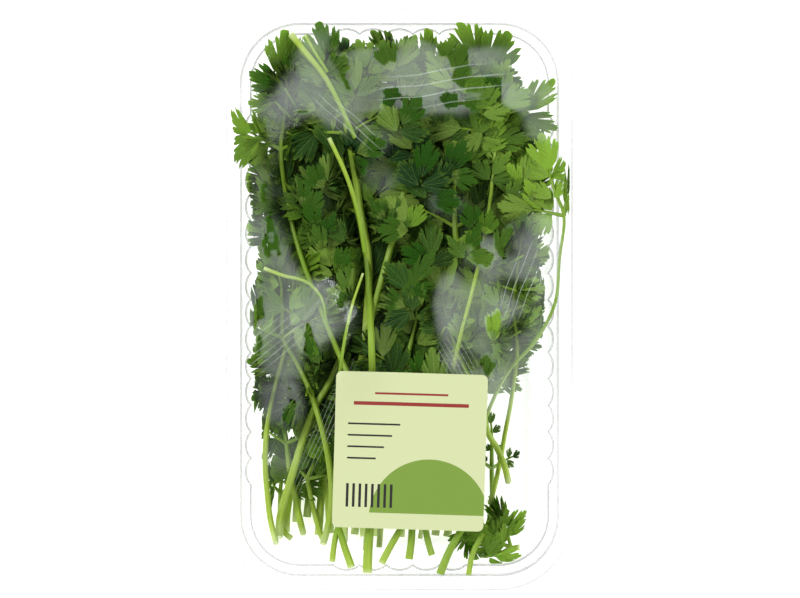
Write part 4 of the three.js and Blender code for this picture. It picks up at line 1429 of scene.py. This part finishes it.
@dataclass
class Film:
    """The stretch film: a taut skin over the bunch, down round the rim and in under the tray.

    Each ring round the rim is how far inside it the ring is and how far it drops. Each bundle of ridges is
    its middle, its heading in degrees, its reach along and across, its height and its pitch.
    """

    sheet: float = 0.12
    smoothing: int = 120
    reach: float = 0.93
    side_rings: int = 12
    round_rim: tuple[Point, ...] = ((-0.3, 0.5), (-0.6, 1.2), (-0.65, 2.0))
    bundles: tuple[tuple[Point, float, float, float, float, float], ...] = (
        ((-22, -40), 62, 26, 9, 0.26, 2.6),
        ((-45, -20), 50, 30, 12, 0.22, 3.4),
        ((40, -46), 84, 24, 6, 0.24, 2.2),
        ((38, 82), 8, 46, 8, 0.24, 4.6),
        ((-30, 70), -35, 40, 16, 0.22, 5.2),
        ((10, 20), 24, 60, 24, 0.16, 7.5),
        ((5, -98), 2, 46, 8, 0.2, 3.1),
    )
    top: HeightField = field(init=False)
    under: HeightField = field(init=False)

    def __post_init__(self) -> None:
        """Reads the film's top from the frame.

        It is smoothed, and its rise above the rim is then scaled so that its highest place has most of the
        height that it had.
        """
        top = HeightField.over(node_triangles("film"), RIM)
        rise = top.smoothed(self.smoothing).heights - RIM
        self.top = HeightField(RIM + rise * self.reach * (top.heights.max() - RIM) / rise.max())
        self.under = HeightField(np.minimum(top.heights, self.top.heights) - FILM - 0.1)

    def wrinkles(self, x: Array, y: Array) -> Array:
        """Low ridges of the pull: bundles of fine waves, each fading away from its line.

        A bundle is exp(-u^2 - v^2) for the shares u and v of its reach, times a wave across it with a finer
        wave of half its height.

        Args:
            x: Places across the pack.
            y: Places along it.

        Returns:
            Their height in millimetres.
        """
        total = np.zeros_like(x)
        for (cx, cy), angle, length, width, height, pitch in self.bundles:
            way = math.radians(angle)
            along = (x - cx) * math.cos(way) + (y - cy) * math.sin(way)
            across = (y - cy) * math.cos(way) - (x - cx) * math.sin(way)
            fade = np.exp(-((along / length) ** 2) - (across / width) ** 2)
            phase = 2 * np.pi * across / pitch + 0.6 * np.sin(along / 9)
            total += height * fade * (np.sin(phase) + 0.5 * np.sin(2.3 * phase + 1))
        return total

    def height(self, x: Array, y: Array) -> Array:
        """The height of the film's middle."""
        inset = np.minimum(TRAY_WIDTH / 2 - np.abs(x), TRAY_LENGTH / 2 - np.abs(y))
        return self.top.at(x, y) - FILM / 2 + self.wrinkles(x, y) * smoothstep(inset, 2, 12)

    def make(self, finish: bpy.types.Material, leaves: HeightField) -> bpy.types.Object:
        """Builds the film as rings from the middle out, down the sides and in under the tray.

        Args:
            finish: Its material.
            leaves: The tops of the leaves, for the gap that is left over them.

        Returns:
            The finished piece.
        """
        outline = Outline(corner_steps=20, flute_steps=9)
        rings = []
        for inset in np.concatenate([np.linspace(64, 3, 62), [2, 1, 0.3]]):
            plan = outline.ring(inset)
            rings.append(np.column_stack([plan, self.height(plan[:, 0], plan[:, 1])]))
        crown = len(rings)
        edge_z = rings[-1][:, 2]
        for inset, drop in self.round_rim:
            rings.append(np.column_stack([outline.ring(inset), edge_z - drop]))
        level = np.ones_like(edge_z)
        foot = FOOT_INSET - FLUTE_DEPTH - FILM_CLEARANCE
        out = self.round_rim[-1][0]
        for share in np.linspace(0.06, 0.985, self.side_rings):
            plan = outline.ring(out + (foot - out) * share)
            rings.append(np.column_stack([plan, level * (RIM - FILM_EDGE) * (1 - share)]))
        for inset in (foot + 1, foot + FILM_HEM / 2, foot + FILM_HEM):
            rings.append(np.column_stack([outline.ring(inset), level * FILM / 2]))
        grid = np.stack(rings)
        plan = (grid[..., 0], grid[..., 1])
        gap = np.maximum(self.under.at(*plan) - leaves.at(*plan), 0)
        gap[crown:] = 0
        closed = np.concatenate([grid[:, -1:], grid, grid[:, :1]], 1)
        normal = normals_of(closed)[:, 1:-1]
        outer, inner = grid - normal * self.sheet / 2, grid + normal * self.sheet / 2
        top = np.repeat(np.arange(len(grid)) < crown, grid.shape[1]).astype(float)
        gap = np.concatenate([gap, gap[::-1]]).ravel()
        surface = Surface("film_stretched")
        shell = np.concatenate([outer, inner[::-1]])
        surface.add_shell(shell, gap=gap, top=np.concatenate([top, top[::-1]]))
        return surface.build([finish], "stretch_film", "film", lets_light=True)


@dataclass(frozen=True)
class Label:
    """The paper label on the film, a rounded sheet that follows it."""

    width: float = 58.0
    length: float = 60.0
    centre: Point = (4.0, -58.0)
    turn: float = -1.8
    corner: float = 2.2
    sheet: float = 0.16
    lift: float = 0.3
    rings: int = 24
    corner_steps: int = 6
    side_steps: int = 18

    def outline(self) -> Array:
        """The edge of the label about its middle.

        Returns:
            The points, counter-clockwise, (points, 2).
        """
        half = np.array([self.width, self.length]) / 2 - self.corner
        corners = np.array([(1, 1), (-1, 1), (-1, -1), (1, -1)]) * half
        share = np.linspace(0, 1, self.side_steps + 2)[1:-1, None]
        points = []
        for k, (corner, onward) in enumerate(zip(corners, np.roll(corners, -1, axis=0))):
            turn = np.radians(90 * k + np.linspace(0, 90, self.corner_steps + 1))
            arc = corner + self.corner * np.stack([np.cos(turn), np.sin(turn)], -1)
            target = arc[-1] + onward - corner
            points.extend([arc, arc[-1] + (target - arc[-1]) * share])
        return np.concatenate(points)

    def make(self, film: Film, finish: bpy.types.Material) -> bpy.types.Object:
        """Builds the label: its outline shrunk ring by ring to the middle, laid on the film.

        Args:
            film: The film that it lies on.
            finish: Its material.

        Returns:
            The finished piece.
        """
        outline = self.outline()
        share = np.linspace(1, 0.02, self.rings)
        flat = share[:, None, None] * outline
        s, c = math.sin(math.radians(self.turn)), math.cos(math.radians(self.turn))
        x = self.centre[0] + flat[..., 0] * c - flat[..., 1] * s
        y = self.centre[1] + flat[..., 0] * s + flat[..., 1] * c
        z = film.top.smoothed(20).at(x, y) - FILM / 2
        z = np.maximum(z, film.height(x, y)) + self.lift
        grid = np.stack([x, y, z], -1)
        upper, lower = grid + [0, 0, self.sheet / 2], grid - [0, 0, self.sheet / 2]
        surface = Surface("label_printed")
        surface.add_shell(np.concatenate([upper[::-1], lower]))
        return surface.build([finish], "label_paper", "label")


# ---- Finishes --------------------------------------------------------------------------------

# The gap between a leaf and the film at which it starts and stops to cling, in millimetres.
CLINGING = (0.4, 1.0)


class Value:
    """A shader's value that can be added, multiplied and so on, each adding its Math node."""

    def __init__(self, recipe: "Recipe", socket: bpy.types.NodeSocket) -> None:
        """Wraps a socket of a recipe."""
        self.recipe = recipe
        self.socket = socket

    def _with(self, operation: str, other: "Value | float", swapped: bool = False) -> "Value":
        """The result of one operation on this value and another."""
        pair = (other, self) if swapped else (self, other)
        return self.recipe.math(operation, *pair)

    def __add__(self, other: "Value | float") -> "Value":
        """The sum."""
        return self._with("ADD", other)

    __radd__ = __add__

    def __sub__(self, other: "Value | float") -> "Value":
        """The difference."""
        return self._with("SUBTRACT", other)

    def __rsub__(self, other: "Value | float") -> "Value":
        """The difference from a number."""
        return self._with("SUBTRACT", other, swapped=True)

    def __mul__(self, other: "Value | float") -> "Value":
        """The product."""
        return self._with("MULTIPLY", other)

    __rmul__ = __mul__

    def __truediv__(self, other: "Value | float") -> "Value":
        """The quotient."""
        return self._with("DIVIDE", other)

    def __pow__(self, other: "Value | float") -> "Value":
        """The power."""
        return self._with("POWER", other)

    def __abs__(self) -> "Value":
        """The size without its sign."""
        return self.recipe.math("ABSOLUTE", self)

    def least(self, other: "Value | float") -> "Value":
        """The lesser of two values."""
        return self._with("MINIMUM", other)

    def most(self, other: "Value | float") -> "Value":
        """The greater of two values."""
        return self._with("MAXIMUM", other)

    def rise(self, low: float, high: float) -> "Value":
        """A smooth rise from 0 at low to 1 at high."""
        settings = {"interpolation_type": "SMOOTHSTEP"}
        inputs = {"Value": self, "From Min": low, "From Max": high}
        return self.recipe.value("ShaderNodeMapRange", settings, inputs, "Result")


class Recipe:
    """A material's nodes."""

    def __init__(self, name: str) -> None:
        """Starts an empty material.

        Args:
            name: Its name.
        """
        self.material = bpy.data.materials.new(name)
        self.material.use_nodes = True
        self.tree = self.material.node_tree
        self.tree.nodes.clear()

    def node(self, kind: str, settings: dict | None = None, inputs: dict | None = None) -> bpy.types.Node:
        """Adds a node.

        Args:
            kind: Its type.
            settings: Its own settings, set first.
            inputs: Values or links for its sockets, by name or number.

        Returns:
            The node.
        """
        node = self.tree.nodes.new(kind)
        for key, value in (settings or {}).items():
            setattr(node, key, value)
        for key, value in (inputs or {}).items():
            target = node.inputs[key]
            if isinstance(value, Value):
                self.tree.links.new(value.socket, target)
            elif isinstance(value, bpy.types.NodeSocket):
                self.tree.links.new(value, target)
            elif target.type == "RGBA":
                target.default_value = (*value, 1.0)
            else:
                target.default_value = value
        return node

    def value(self, kind: str, settings: dict | None, inputs: dict | None, output: str | int) -> Value:
        """Adds a node and gives one of its outputs."""
        return Value(self, self.node(kind, settings, inputs).outputs[output])

    def math(self, operation: str, *values: Value | float) -> Value:
        """Adds a Math node."""
        inputs = dict(enumerate(values))
        return self.value("ShaderNodeMath", {"operation": operation}, inputs, 0)

    def attribute(self, name: str) -> Value:
        """A named value of the piece's points."""
        return self.value("ShaderNodeAttribute", {"attribute_name": name}, None, "Fac")

    def place(self, location: Triple = (0, 0, 0), turn: float = 0.0, scale: Triple = (1, 1, 1)) -> Value:
        """The place on the piece, moved, turned about Z and scaled."""
        coordinates = self.value("ShaderNodeTexCoord", None, None, "Object")
        inputs = {"Vector": coordinates, "Location": location, "Rotation": (0, 0, turn), "Scale": scale}
        return self.value("ShaderNodeMapping", {"vector_type": "POINT"}, inputs, 0)

    def noise(self, place: Value, scale: float, detail: float = 3.0, roughness: float = 0.5) -> Value:
        """A soft noise about 0.5, its scale in cells to the metre."""
        inputs = {"Vector": place, "Scale": scale, "Detail": detail, "Roughness": roughness}
        return self.value("ShaderNodeTexNoise", None, inputs, 0)

    def axes(self, place: Value) -> list[Value]:
        """The three axes of a place."""
        split = self.node("ShaderNodeSeparateXYZ", None, {0: place})
        return [Value(self, output) for output in split.outputs]

    def blend(self, share: Value | float, one: Value | Colour, other: Value | Colour) -> Value:
        """Mixes two colours.

        Args:
            share: The share of the second colour.
            one: The first colour.
            other: The second colour.

        Returns:
            The mixed colour.
        """
        node = self.node("ShaderNodeMix", {"data_type": "RGBA"}, {0: share})
        for key, colour in ((6, one), (7, other)):
            if isinstance(colour, Value):
                self.tree.links.new(colour.socket, node.inputs[key])
            else:
                node.inputs[key].default_value = (*colour, 1.0)
        return Value(self, node.outputs[2])

    def bump(self, height: Value, strength: float, distance: float) -> Value:
        """A normal from a height, its distance in metres."""
        inputs = {"Height": height, "Strength": strength, "Distance": distance}
        return self.value("ShaderNodeBump", None, inputs, 0)

    def finish(self, shader: bpy.types.Node, solid: Value | None = None) -> bpy.types.Material:
        """Ends the recipe with its shader.

        Args:
            shader: The shader.
            solid: The share of the shader where the rest is clear, if it isn't all of the surface.

        Returns:
            The material.
        """
        if solid is not None:
            clear = self.node("ShaderNodeBsdfTransparent", None, {"Color": (1, 1, 1)})
            inputs = {0: solid, 1: clear.outputs[0], 2: shader.outputs[0]}
            shader = self.node("ShaderNodeMixShader", None, inputs)
        self.node("ShaderNodeOutputMaterial", None, {"Surface": shader.outputs[0]})
        return self.material


@dataclass(frozen=True)
class LeafFinish:
    """The blade of a leaf: green above, paler below, finely veined, deep green where film clings, and
    painted backlight where marked lit.
    """

    dark: Colour = (0.007, 0.034, 0.007)
    fresh: Colour = (0.048, 0.12, 0.009)
    light: Colour = (0.2, 0.35, 0.024)
    under: Colour = (0.145, 0.235, 0.036)
    vein: Colour = (0.21, 0.32, 0.075)
    clung: Colour = (0.013, 0.064, 0.0)
    backlit: Colour = (0.23, 0.41, 0.04)

    def make(self) -> bpy.types.Material:
        """Builds the material.

        A rib is where the place across the fan, times the distance out, is within a hair of the rib's own,
        one to each lobe. Finer veins leave each rib aslant, at even steps of the distance out less the
        distance from the rib, and the blade is raised between them.

        Returns:
            The material.
        """
        r = Recipe("parsley_leaf")
        place = r.place()
        tone, edge, across, out = (r.attribute(key) for key in ("tone", "edge", "across", "out"))
        turned, lit, gap, pressed = (r.attribute(key) for key in ("under", "lit", "gap", "pressed"))
        mottle = r.noise(place, 260, 4, 0.6)
        beside = abs(across).least(abs(abs(across) - 0.46)) * out
        main = 1 - beside.rise(0.004, 0.026)
        ribs = abs(r.math("FRACT", (out - beside * 1.4) * 7 + 20.5) - 0.5) / 7
        fine = (1 - ribs.rise(0.002, 0.016)) * out.rise(0.12, 0.4)
        vein = main.most(fine * (mottle * 0.8 - 0.05)) * (1 - edge.rise(0.85, 1.0) * 0.7)
        level = (tone * 0.72 + 0.29 + (mottle - 0.5) * 0.4).most(0).least(1)
        green = r.blend(level, self.dark, self.fresh)
        paler = edge.rise(0.8, 1.0) * 0.2 + (level - 0.62).most(0) * 1.6
        green = r.blend(paler.least(1), green, self.light)
        colour = r.blend(turned * (0.55 + level * 0.4), green, self.under)
        # Painted backlight: paler yellow-green where the leaf is marked lit, standing in for light through
        # it.
        colour = r.blend(lit * (level * 0.4 + 0.62), colour, self.backlit)
        colour = r.blend(vein * (0.2 + turned * 0.3), colour, self.vein)
        clinging = (1 - gap.rise(*CLINGING)) * pressed * (1 - lit * 0.8)
        colour = r.blend(clinging * 0.85, colour, self.clung)
        crinkle = r.noise(place, 800, 2, 0.6)
        shader = r.node(
            "ShaderNodeBsdfPrincipled",
            None,
            {
                "Base Color": colour,
                "Roughness": mottle * 0.2 + 0.42,
                "Normal": r.bump(crinkle * 1.2 + ribs * 12 + main * -0.9, 0.45, 0.0004),
                "Specular IOR Level": 0.07,
                "Subsurface Weight": 0.1,
                "Subsurface Radius": (0.4, 1.0, 0.1),
                "Subsurface Scale": 0.0006,
            },
        )
        return r.finish(shader)


@dataclass(frozen=True)
class StalkFinish:
    """A stalk: pale at the cut end, greener towards the leaves, streaked darker along its ribs."""

    cut_end: Colour = (0.66, 0.76, 0.42)
    base: Colour = (0.43, 0.585, 0.07)
    upper: Colour = (0.2, 0.34, 0.02)
    groove: Colour = (0.1, 0.22, 0.02)

    def make(self) -> bpy.types.Material:
        """Builds the material.

        Returns:
            The material.
        """
        r = Recipe("parsley_stalk")
        along, rib, cut, tone = (r.attribute(key) for key in ("along", "rib", "cut", "tone"))
        streak = r.noise(r.place(scale=(1, 0.06, 1)), 1500, 3, 0.6)
        colour = r.blend((along * 1.1 + tone * 0.3).most(0).least(1), self.base, self.upper)
        grooves = ((rib * -0.5 + 0.5) * 0.35 + (streak - 0.45).most(0) * 1.2).least(1)
        colour = r.blend(grooves * 0.6, colour, self.groove)
        pale = (1 - along.rise(0.0, 0.08)) * 0.5 + cut
        colour = r.blend(pale.least(1), colour, self.cut_end)
        shader = r.node(
            "ShaderNodeBsdfPrincipled",
            None,
            {
                "Base Color": colour,
                "Roughness": streak * 0.2 + 0.3,
                "Normal": r.bump(streak + rib * 0.4, 0.4, 0.0003),
                "Specular IOR Level": 0.3,
                "Subsurface Weight": 0.15,
                "Subsurface Radius": (0.8, 1.0, 0.3),
                "Subsurface Scale": 0.001,
            },
        )
        return r.finish(shader)


@dataclass(frozen=True)
class TrayFinish:
    """Clear sheet plastic: a painted grey line of shade where it turns edge on or folds, with sharp gloss.
    """

    # The grey of the painted shade lines at folds and edge-on walls.
    body: Colour = (0.4, 0.38, 0.44)

    def make(self) -> bpy.types.Material:
        """Builds the material.

        Returns:
            The material.
        """
        r = Recipe("clear_sheet_plastic")
        haze = r.noise(r.place(), 60, 3, 0.55)
        facing = r.value("ShaderNodeLayerWeight", None, {"Blend": 0.5}, "Facing")
        gloss = r.value("ShaderNodeFresnel", None, {"IOR": 1.4}, 0)
        # A painted grey line of shade where the sheet turns edge on or folds.
        painted_grey_line = facing.rise(0.9, 0.99) * 0.1 + r.attribute("fold")
        solid = ((gloss - 0.028) * 0.16 + painted_grey_line + (haze - 0.5).most(0) * 0.03).most(0).least(0.9)
        shader = r.node(
            "ShaderNodeBsdfPrincipled",
            None,
            {
                "Base Color": r.blend((painted_grey_line * 8).least(1), (0.95, 0.96, 0.955), self.body),
                "Metallic": (1 - painted_grey_line * 8).most(0),
                "Roughness": haze * 0.12 + 0.06,
            },
        )
        return r.finish(shader, solid)


@dataclass(frozen=True)
class FilmFinish:
    """Stretch film: clear where it clings, with fogging and painted glare over the hollows, and painted
    highlights along straight streaks of pull and creases.

    Each patch of fogging and painted glare is an ellipse, as its middle and its reach in millimetres, and
    its strength. Each bundle of painted crease highlights is one too: its middle, its heading in degrees,
    its reach along and across, and its pitch. The edge is how far from the middle the fogging and glare
    stop, in metres across and along, and the fade is how fast they do, for each metre.
    """

    # The colour of the fogging and of the painted glare and highlights.
    fog_and_glare: Colour = (0.83, 0.91, 0.86)
    edge: Point = (0.064, 0.109)
    fade: float = 200.0
    fog_and_glare_patches: tuple[tuple[float, float, float, float, float], ...] = (
        (-34, 82, 34, 24, 1.5),
        (16, 84, 50, 16, 2.3),
        (-54, 30, 16, 22, 0.9),
        (-43, -5, 23, 26, 1.9),
        (-46, -34, 14, 16, 1.1),
        (54, 26, 16, 26, 1.0),
        (43, -8, 34, 44, 3.0),
        (50, 70, 12, 16, 0.9),
    )
    # Bundles of painted crease highlights.
    crease_highlight_bundles: tuple[tuple[float, float, float, float, float, float], ...] = (
        (-29, -50, 66, 32, 4.0, 1.5),
        (-50, -17, 40, 16, 9.0, 2.4),
        (22, -23, 120, 10, 8.0, 1.7),
        (16, 82, 6, 28, 9.0, 4.4),
        (-20, 68, -40, 18, 5.0, 2.6),
        (46, 6, 70, 18, 7.0, 2.8),
    )

    def fog_and_glare_region(self, x: Value, y: Value) -> Value:
        """How strongly each place is in the ellipses of fogging and painted glare.

        It is a little everywhere, plus each patch's strength * (1 - u^2 - v^2) where that is above 0, for
        the shares u and v of the patch's reach.

        Args:
            x: The place across, in metres.
            y: The place along.

        Returns:
            The strength.
        """
        total: Value | float = 0.04
        for cx, cy, wide, long, strength in self.fog_and_glare_patches:
            apart = ((x / METRES - cx) / wide) ** 2 + ((y / METRES - cy) / long) ** 2
            total = (1 - apart).most(0) * strength + total
        return total

    def painted_crease_highlights(self, r: Recipe, x: Value, y: Value, drift: Value) -> Value:
        """The painted crease highlights: the crests of a triangle wave across each bundle, which fade out
        from its middle.

        Args:
            r: The recipe.
            x: The place across, in metres.
            y: The place along.
            drift: A noise that bends the creases.

        Returns:
            From 0 to 0.5 for each bundle.
        """
        total: Value | float = 0.0
        for cx, cy, angle, long, wide, pitch in self.crease_highlight_bundles:
            s, c = math.sin(math.radians(angle)), math.cos(math.radians(angle))
            along = (x / METRES - cx) * c + (y / METRES - cy) * s
            across = (y / METRES - cy) * c - (x / METRES - cx) * s
            fade = (1 - (along / long) ** 2 - (across / wide) ** 2).most(0)
            lines = abs(r.math("FRACT", across / pitch + drift * 1.4 + 20) - 0.5) * 2
            total = lines.rise(0.8, 1.0) * fade.least(0.5) + total
        return total

    def make(self) -> bpy.types.Material:
        """Builds the material: thin fogging with painted glare and highlights, and gloss, over a sheet that
        is clear for the rest.

        Returns:
            The material.
        """
        r = Recipe("stretch_film")
        place = r.place()
        x, y, _ = r.axes(place)
        gap, top = r.attribute("gap"), r.attribute("top")
        fog_and_glare_region = self.fog_and_glare_region(x, y).least(1.4)
        broad = r.noise(place, 34, 1.5, 0.5)
        wisps = r.noise(place, 52, 1.5, 0.45).rise(0.34, 0.66)
        fine = r.noise(r.place(turn=0.45, scale=(0.2, 2.4, 1)), 95, 4, 0.6)
        steep = r.noise(r.place(turn=-1.1, scale=(0.12, 2.0, 1)), 120, 3, 0.5)
        # Painted highlights along straight streaks of pull.
        pulled_highlights = (fine.rise(0.56, 0.74) + steep.rise(0.58, 0.76)) * 0.018
        # Fogging and painted reflections of the light, strongest in the listed ellipses.
        fog_and_glare_cover = (fog_and_glare_region * 0.3 + broad * 1.4 + wisps * 0.12 - 0.82).rise(0, 0.3)
        dense = (gap.rise(0.3, 2.4) * 0.02 + fog_and_glare_region * 0.035 + 0.012) * (wisps * 0.6 + 0.72)
        # Fogging and painted glare together, cleared where the film clings.
        fog_and_glare_veil = (fog_and_glare_cover * dense + pulled_highlights * fog_and_glare_region.least(1)) * gap.rise(*CLINGING)
        # Painted crease highlights are added on top.
        fog_and_glare = fog_and_glare_veil + self.painted_crease_highlights(r, x, y, broad) * fine * 0.5
        for edge, axis in zip(self.edge, (x, y)):
            fog_and_glare = fog_and_glare * ((edge - abs(axis)) * self.fade).most(0).least(1)
        gloss = r.value("ShaderNodeFresnel", None, {"IOR": 1.4}, 0)
        solid = fog_and_glare + (gloss - 0.028).most(0).least(0.3) * (top * 0.4 + 0.08)
        shader = r.node(
            "ShaderNodeBsdfPrincipled",
            None,
            {
                "Base Color": self.fog_and_glare,
                "Roughness": (fog_and_glare * 1.2 + 0.07).least(0.5),
                "Metallic": (1 - fog_and_glare * 22).most(0),
                "Normal": r.bump(fine + steep, 0.3, 0.0005),
            },
        )
        return r.finish(shader, solid)


@dataclass(frozen=True)
class LabelFinish:
    """Semi-gloss paper printed with a plain hill of green, two red rules, thin lines and a row of bars."""

    paper: Colour = (0.6, 0.66, 0.36)
    pale: Colour = (0.66, 0.71, 0.44)
    hill: Colour = (0.19, 0.31, 0.045)
    red: Colour = (0.28, 0.03, 0.025)
    ink: Colour = (0.02, 0.02, 0.018)
    hill_centre: Point = (8.0, -26.0)
    hill_radius: float = 23.0
    hill_box: Box = (-29.0, 29.0, -24.0, 30.0)
    rules: tuple[Box, ...] = ((-22.0, 22.0, 17.2, 18.6), (-14.0, 14.0, 21.4, 22.2))
    lines: tuple[Box, ...] = (
        (-24.0, -4.0, 9.6, 10.3),
        (-24.0, -7.0, 5.2, 5.9),
        (-24.0, -10.0, 0.8, 1.5),
        (-24.0, -13.0, -3.6, -2.9),
    )
    bars: Box = (-24.0, -4.8, -22.0, -13.0)
    bar_pitch: float = 2.4
    bar_share: float = 0.42

    def make(self, label: Label) -> bpy.types.Material:
        """Builds the material.

        Each printed shape is in millimetres from the label's middle, and a box is its left, right, bottom
        and top. The hill is what a box shows of a disc.

        Args:
            label: The label, for its place.

        Returns:
            The material.
        """
        r = Recipe("label_paper")
        turn = math.radians(label.turn)
        c, s = math.cos(turn), math.sin(turn)
        cx, cy = (part * METRES for part in label.centre)
        shift = (-(cx * c + cy * s), cx * s - cy * c, 0)
        x, y, _ = r.axes(r.place(location=shift, turn=-turn))
        x, y = x / METRES, y / METRES
        fibre = r.noise(r.place(), 700, 3, 0.6)

        def inside(box: Box) -> Value:
            """1 inside a box and 0 outside it."""
            left, right, bottom, top = box
            wide = r.math("LESS_THAN", abs(x - (left + right) / 2), (right - left) / 2)
            return wide * r.math("LESS_THAN", abs(y - (bottom + top) / 2), (top - bottom) / 2)

        colour = r.blend((fibre - 0.3).most(0) * 0.3, self.paper, self.pale)
        hill_x, hill_y = self.hill_centre
        apart = r.math("SQRT", (x - hill_x) ** 2 + (y - hill_y) ** 2)
        hill = r.math("LESS_THAN", apart, self.hill_radius) * inside(self.hill_box)
        colour = r.blend(hill, colour, self.hill)
        for box in self.rules:
            colour = r.blend(inside(box), colour, self.red)
        for box in self.lines:
            colour = r.blend(inside(box), colour, self.ink)
        inked = r.math("LESS_THAN", r.math("FRACT", x / self.bar_pitch + 40), self.bar_share)
        colour = r.blend(inked * inside(self.bars), colour, self.ink)
        shader = r.node(
            "ShaderNodeBsdfPrincipled",
            None,
            {
                "Base Color": colour,
                "Roughness": fibre * 0.2 + 0.35,
                "Normal": r.bump(fibre, 0.2, 0.0001),
                "Specular IOR Level": 0.4,
            },
        )
        return r.finish(shader)


# ---- The stage -------------------------------------------------------------------------------


@dataclass(frozen=True)
class Studio:
    """A white floor, soft light from above, and a camera looking straight down, in metres.

    Around is the sky's strength at the sides, and above is its strength overhead. Aside is how far the
    camera stands from the pack's middle.
    """

    view_width: float = 0.3066
    distance: float = 1.2
    floor_half: float = 1.6
    around: float = 0.82
    above: float = 0.07
    floor_drop: float = 0.0002
    floor_glow: float = 0.6
    aim: Triple = (0, 0, 0.03)
    aside: Point = (0.0002, 0.0002)

    def floor(self) -> None:
        """Adds the floor, just under the pack."""
        mesh = bpy.data.meshes.new("floor")
        corners = np.array([(-1, -1, 0), (1, -1, 0), (1, 1, 0), (-1, 1, 0)]) * self.floor_half
        mesh.from_pydata((corners - [0, 0, self.floor_drop]).tolist(), [], [(0, 1, 2, 3)])
        r = Recipe("floor_white")
        shader = r.node(
            "ShaderNodeBsdfPrincipled",
            None,
            {
                "Base Color": (0.93, 0.93, 0.93),
                "Roughness": 0.9,
                "Emission Color": (1, 1, 1),
                "Emission Strength": self.floor_glow,
            },
        )
        mesh.materials.append(r.finish(shader))
        floor = bpy.data.objects.new("floor", mesh)
        bpy.context.scene.collection.objects.link(floor)

    def light(self, name: str, place: Triple, size: Point, power: float) -> None:
        """Adds a rectangular soft light that points at the pack.

        Args:
            name: Its name.
            place: Where it is, in metres.
            size: Its width and length.
            power: Its power in watts.
        """
        lamp = bpy.data.lights.new(name, "AREA")
        lamp.shape = "RECTANGLE"
        lamp.size, lamp.size_y = size
        lamp.energy = power
        holder = bpy.data.objects.new(name, lamp)
        holder.location = place
        way = np.array(place) - self.aim
        holder.rotation_euler = (
            math.atan2(math.hypot(way[0], way[1]), way[2]),
            0,
            math.atan2(way[1], way[0]) + math.pi / 2,
        )
        bpy.context.scene.collection.objects.link(holder)

    def sky(self) -> bpy.types.World:
        """Makes the light all round: white at the sides, and dim above, as in an open light tent.

        Returns:
            The world that gives it.
        """
        world = bpy.data.worlds.new("soft_white")
        world.use_nodes = True
        tree = world.node_tree
        way = tree.nodes.new("ShaderNodeTexCoord")
        split = tree.nodes.new("ShaderNodeSeparateXYZ")
        strength = tree.nodes.new("ShaderNodeMapRange")
        strength.interpolation_type = "SMOOTHSTEP"
        limits = {"From Min": 0.86, "From Max": 0.97, "To Min": self.around, "To Max": self.above}
        for key, value in limits.items():
            strength.inputs[key].default_value = value
        tree.links.new(way.outputs["Generated"], split.inputs[0])
        tree.links.new(split.outputs["Z"], strength.inputs["Value"])
        background = tree.nodes["Background"]
        background.inputs["Color"].default_value = (1, 1, 1, 1)
        tree.links.new(strength.outputs["Result"], background.inputs["Strength"])
        return world

    def camera(self) -> None:
        """Adds the camera, so that the rim's plane fills the frame as wanted."""
        data = bpy.data.cameras.new("camera")
        data.lens = data.sensor_width * self.distance / self.view_width
        holder = bpy.data.objects.new("camera", data)
        holder.location = (*self.aside, self.distance + RIM * METRES)
        bpy.context.scene.collection.objects.link(holder)
        bpy.context.scene.camera = holder

    def make(self) -> None:
        """Builds the stage."""
        scene = bpy.context.scene
        scene.view_settings.view_transform = "Standard"
        scene.cycles.transparent_max_bounces = 32
        scene.world = self.sky()
        self.floor()
        self.light("key_softbox", (-0.75, 0.6, 1.2), (0.7, 0.5), 12)
        self.light("fill_softbox", (0.9, -0.2, 1.0), (0.5, 0.8), 4)
        self.camera()


def main() -> None:
    """Builds the pack piece by piece."""
    logging.basicConfig(level=logging.INFO, format="%(message)s")
    Studio().make()
    film = Film()
    rng = np.random.default_rng(DETAIL_SEED)
    green = [LeafFinish().make(), StalkFinish().make()]
    tops: list[Array] = []
    plan = BunchPlan()
    ceiling = Ceiling().make(plan, film.under)
    for frond in plan.fronds:
        maker = FrondMaker(frond, film.under, ceiling, rng)
        piece = maker.make(green, plan.STRAYS if frond.sunk else ())
        tops.extend(maker.tops)
        log.info("%s: %d faces", piece.name, len(piece.data.polygons))
    label = Label()
    pieces = [
        Tray().make(TrayFinish().make()),
        film.make(FilmFinish().make(), leaf_tops(np.stack(tops))),
        label.make(film, LabelFinish().make(label)),
    ]
    for piece in pieces:
        log.info("%s: %d faces", piece.name, len(piece.data.polygons))
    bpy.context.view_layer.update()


if __name__ == "__main__":
    main()
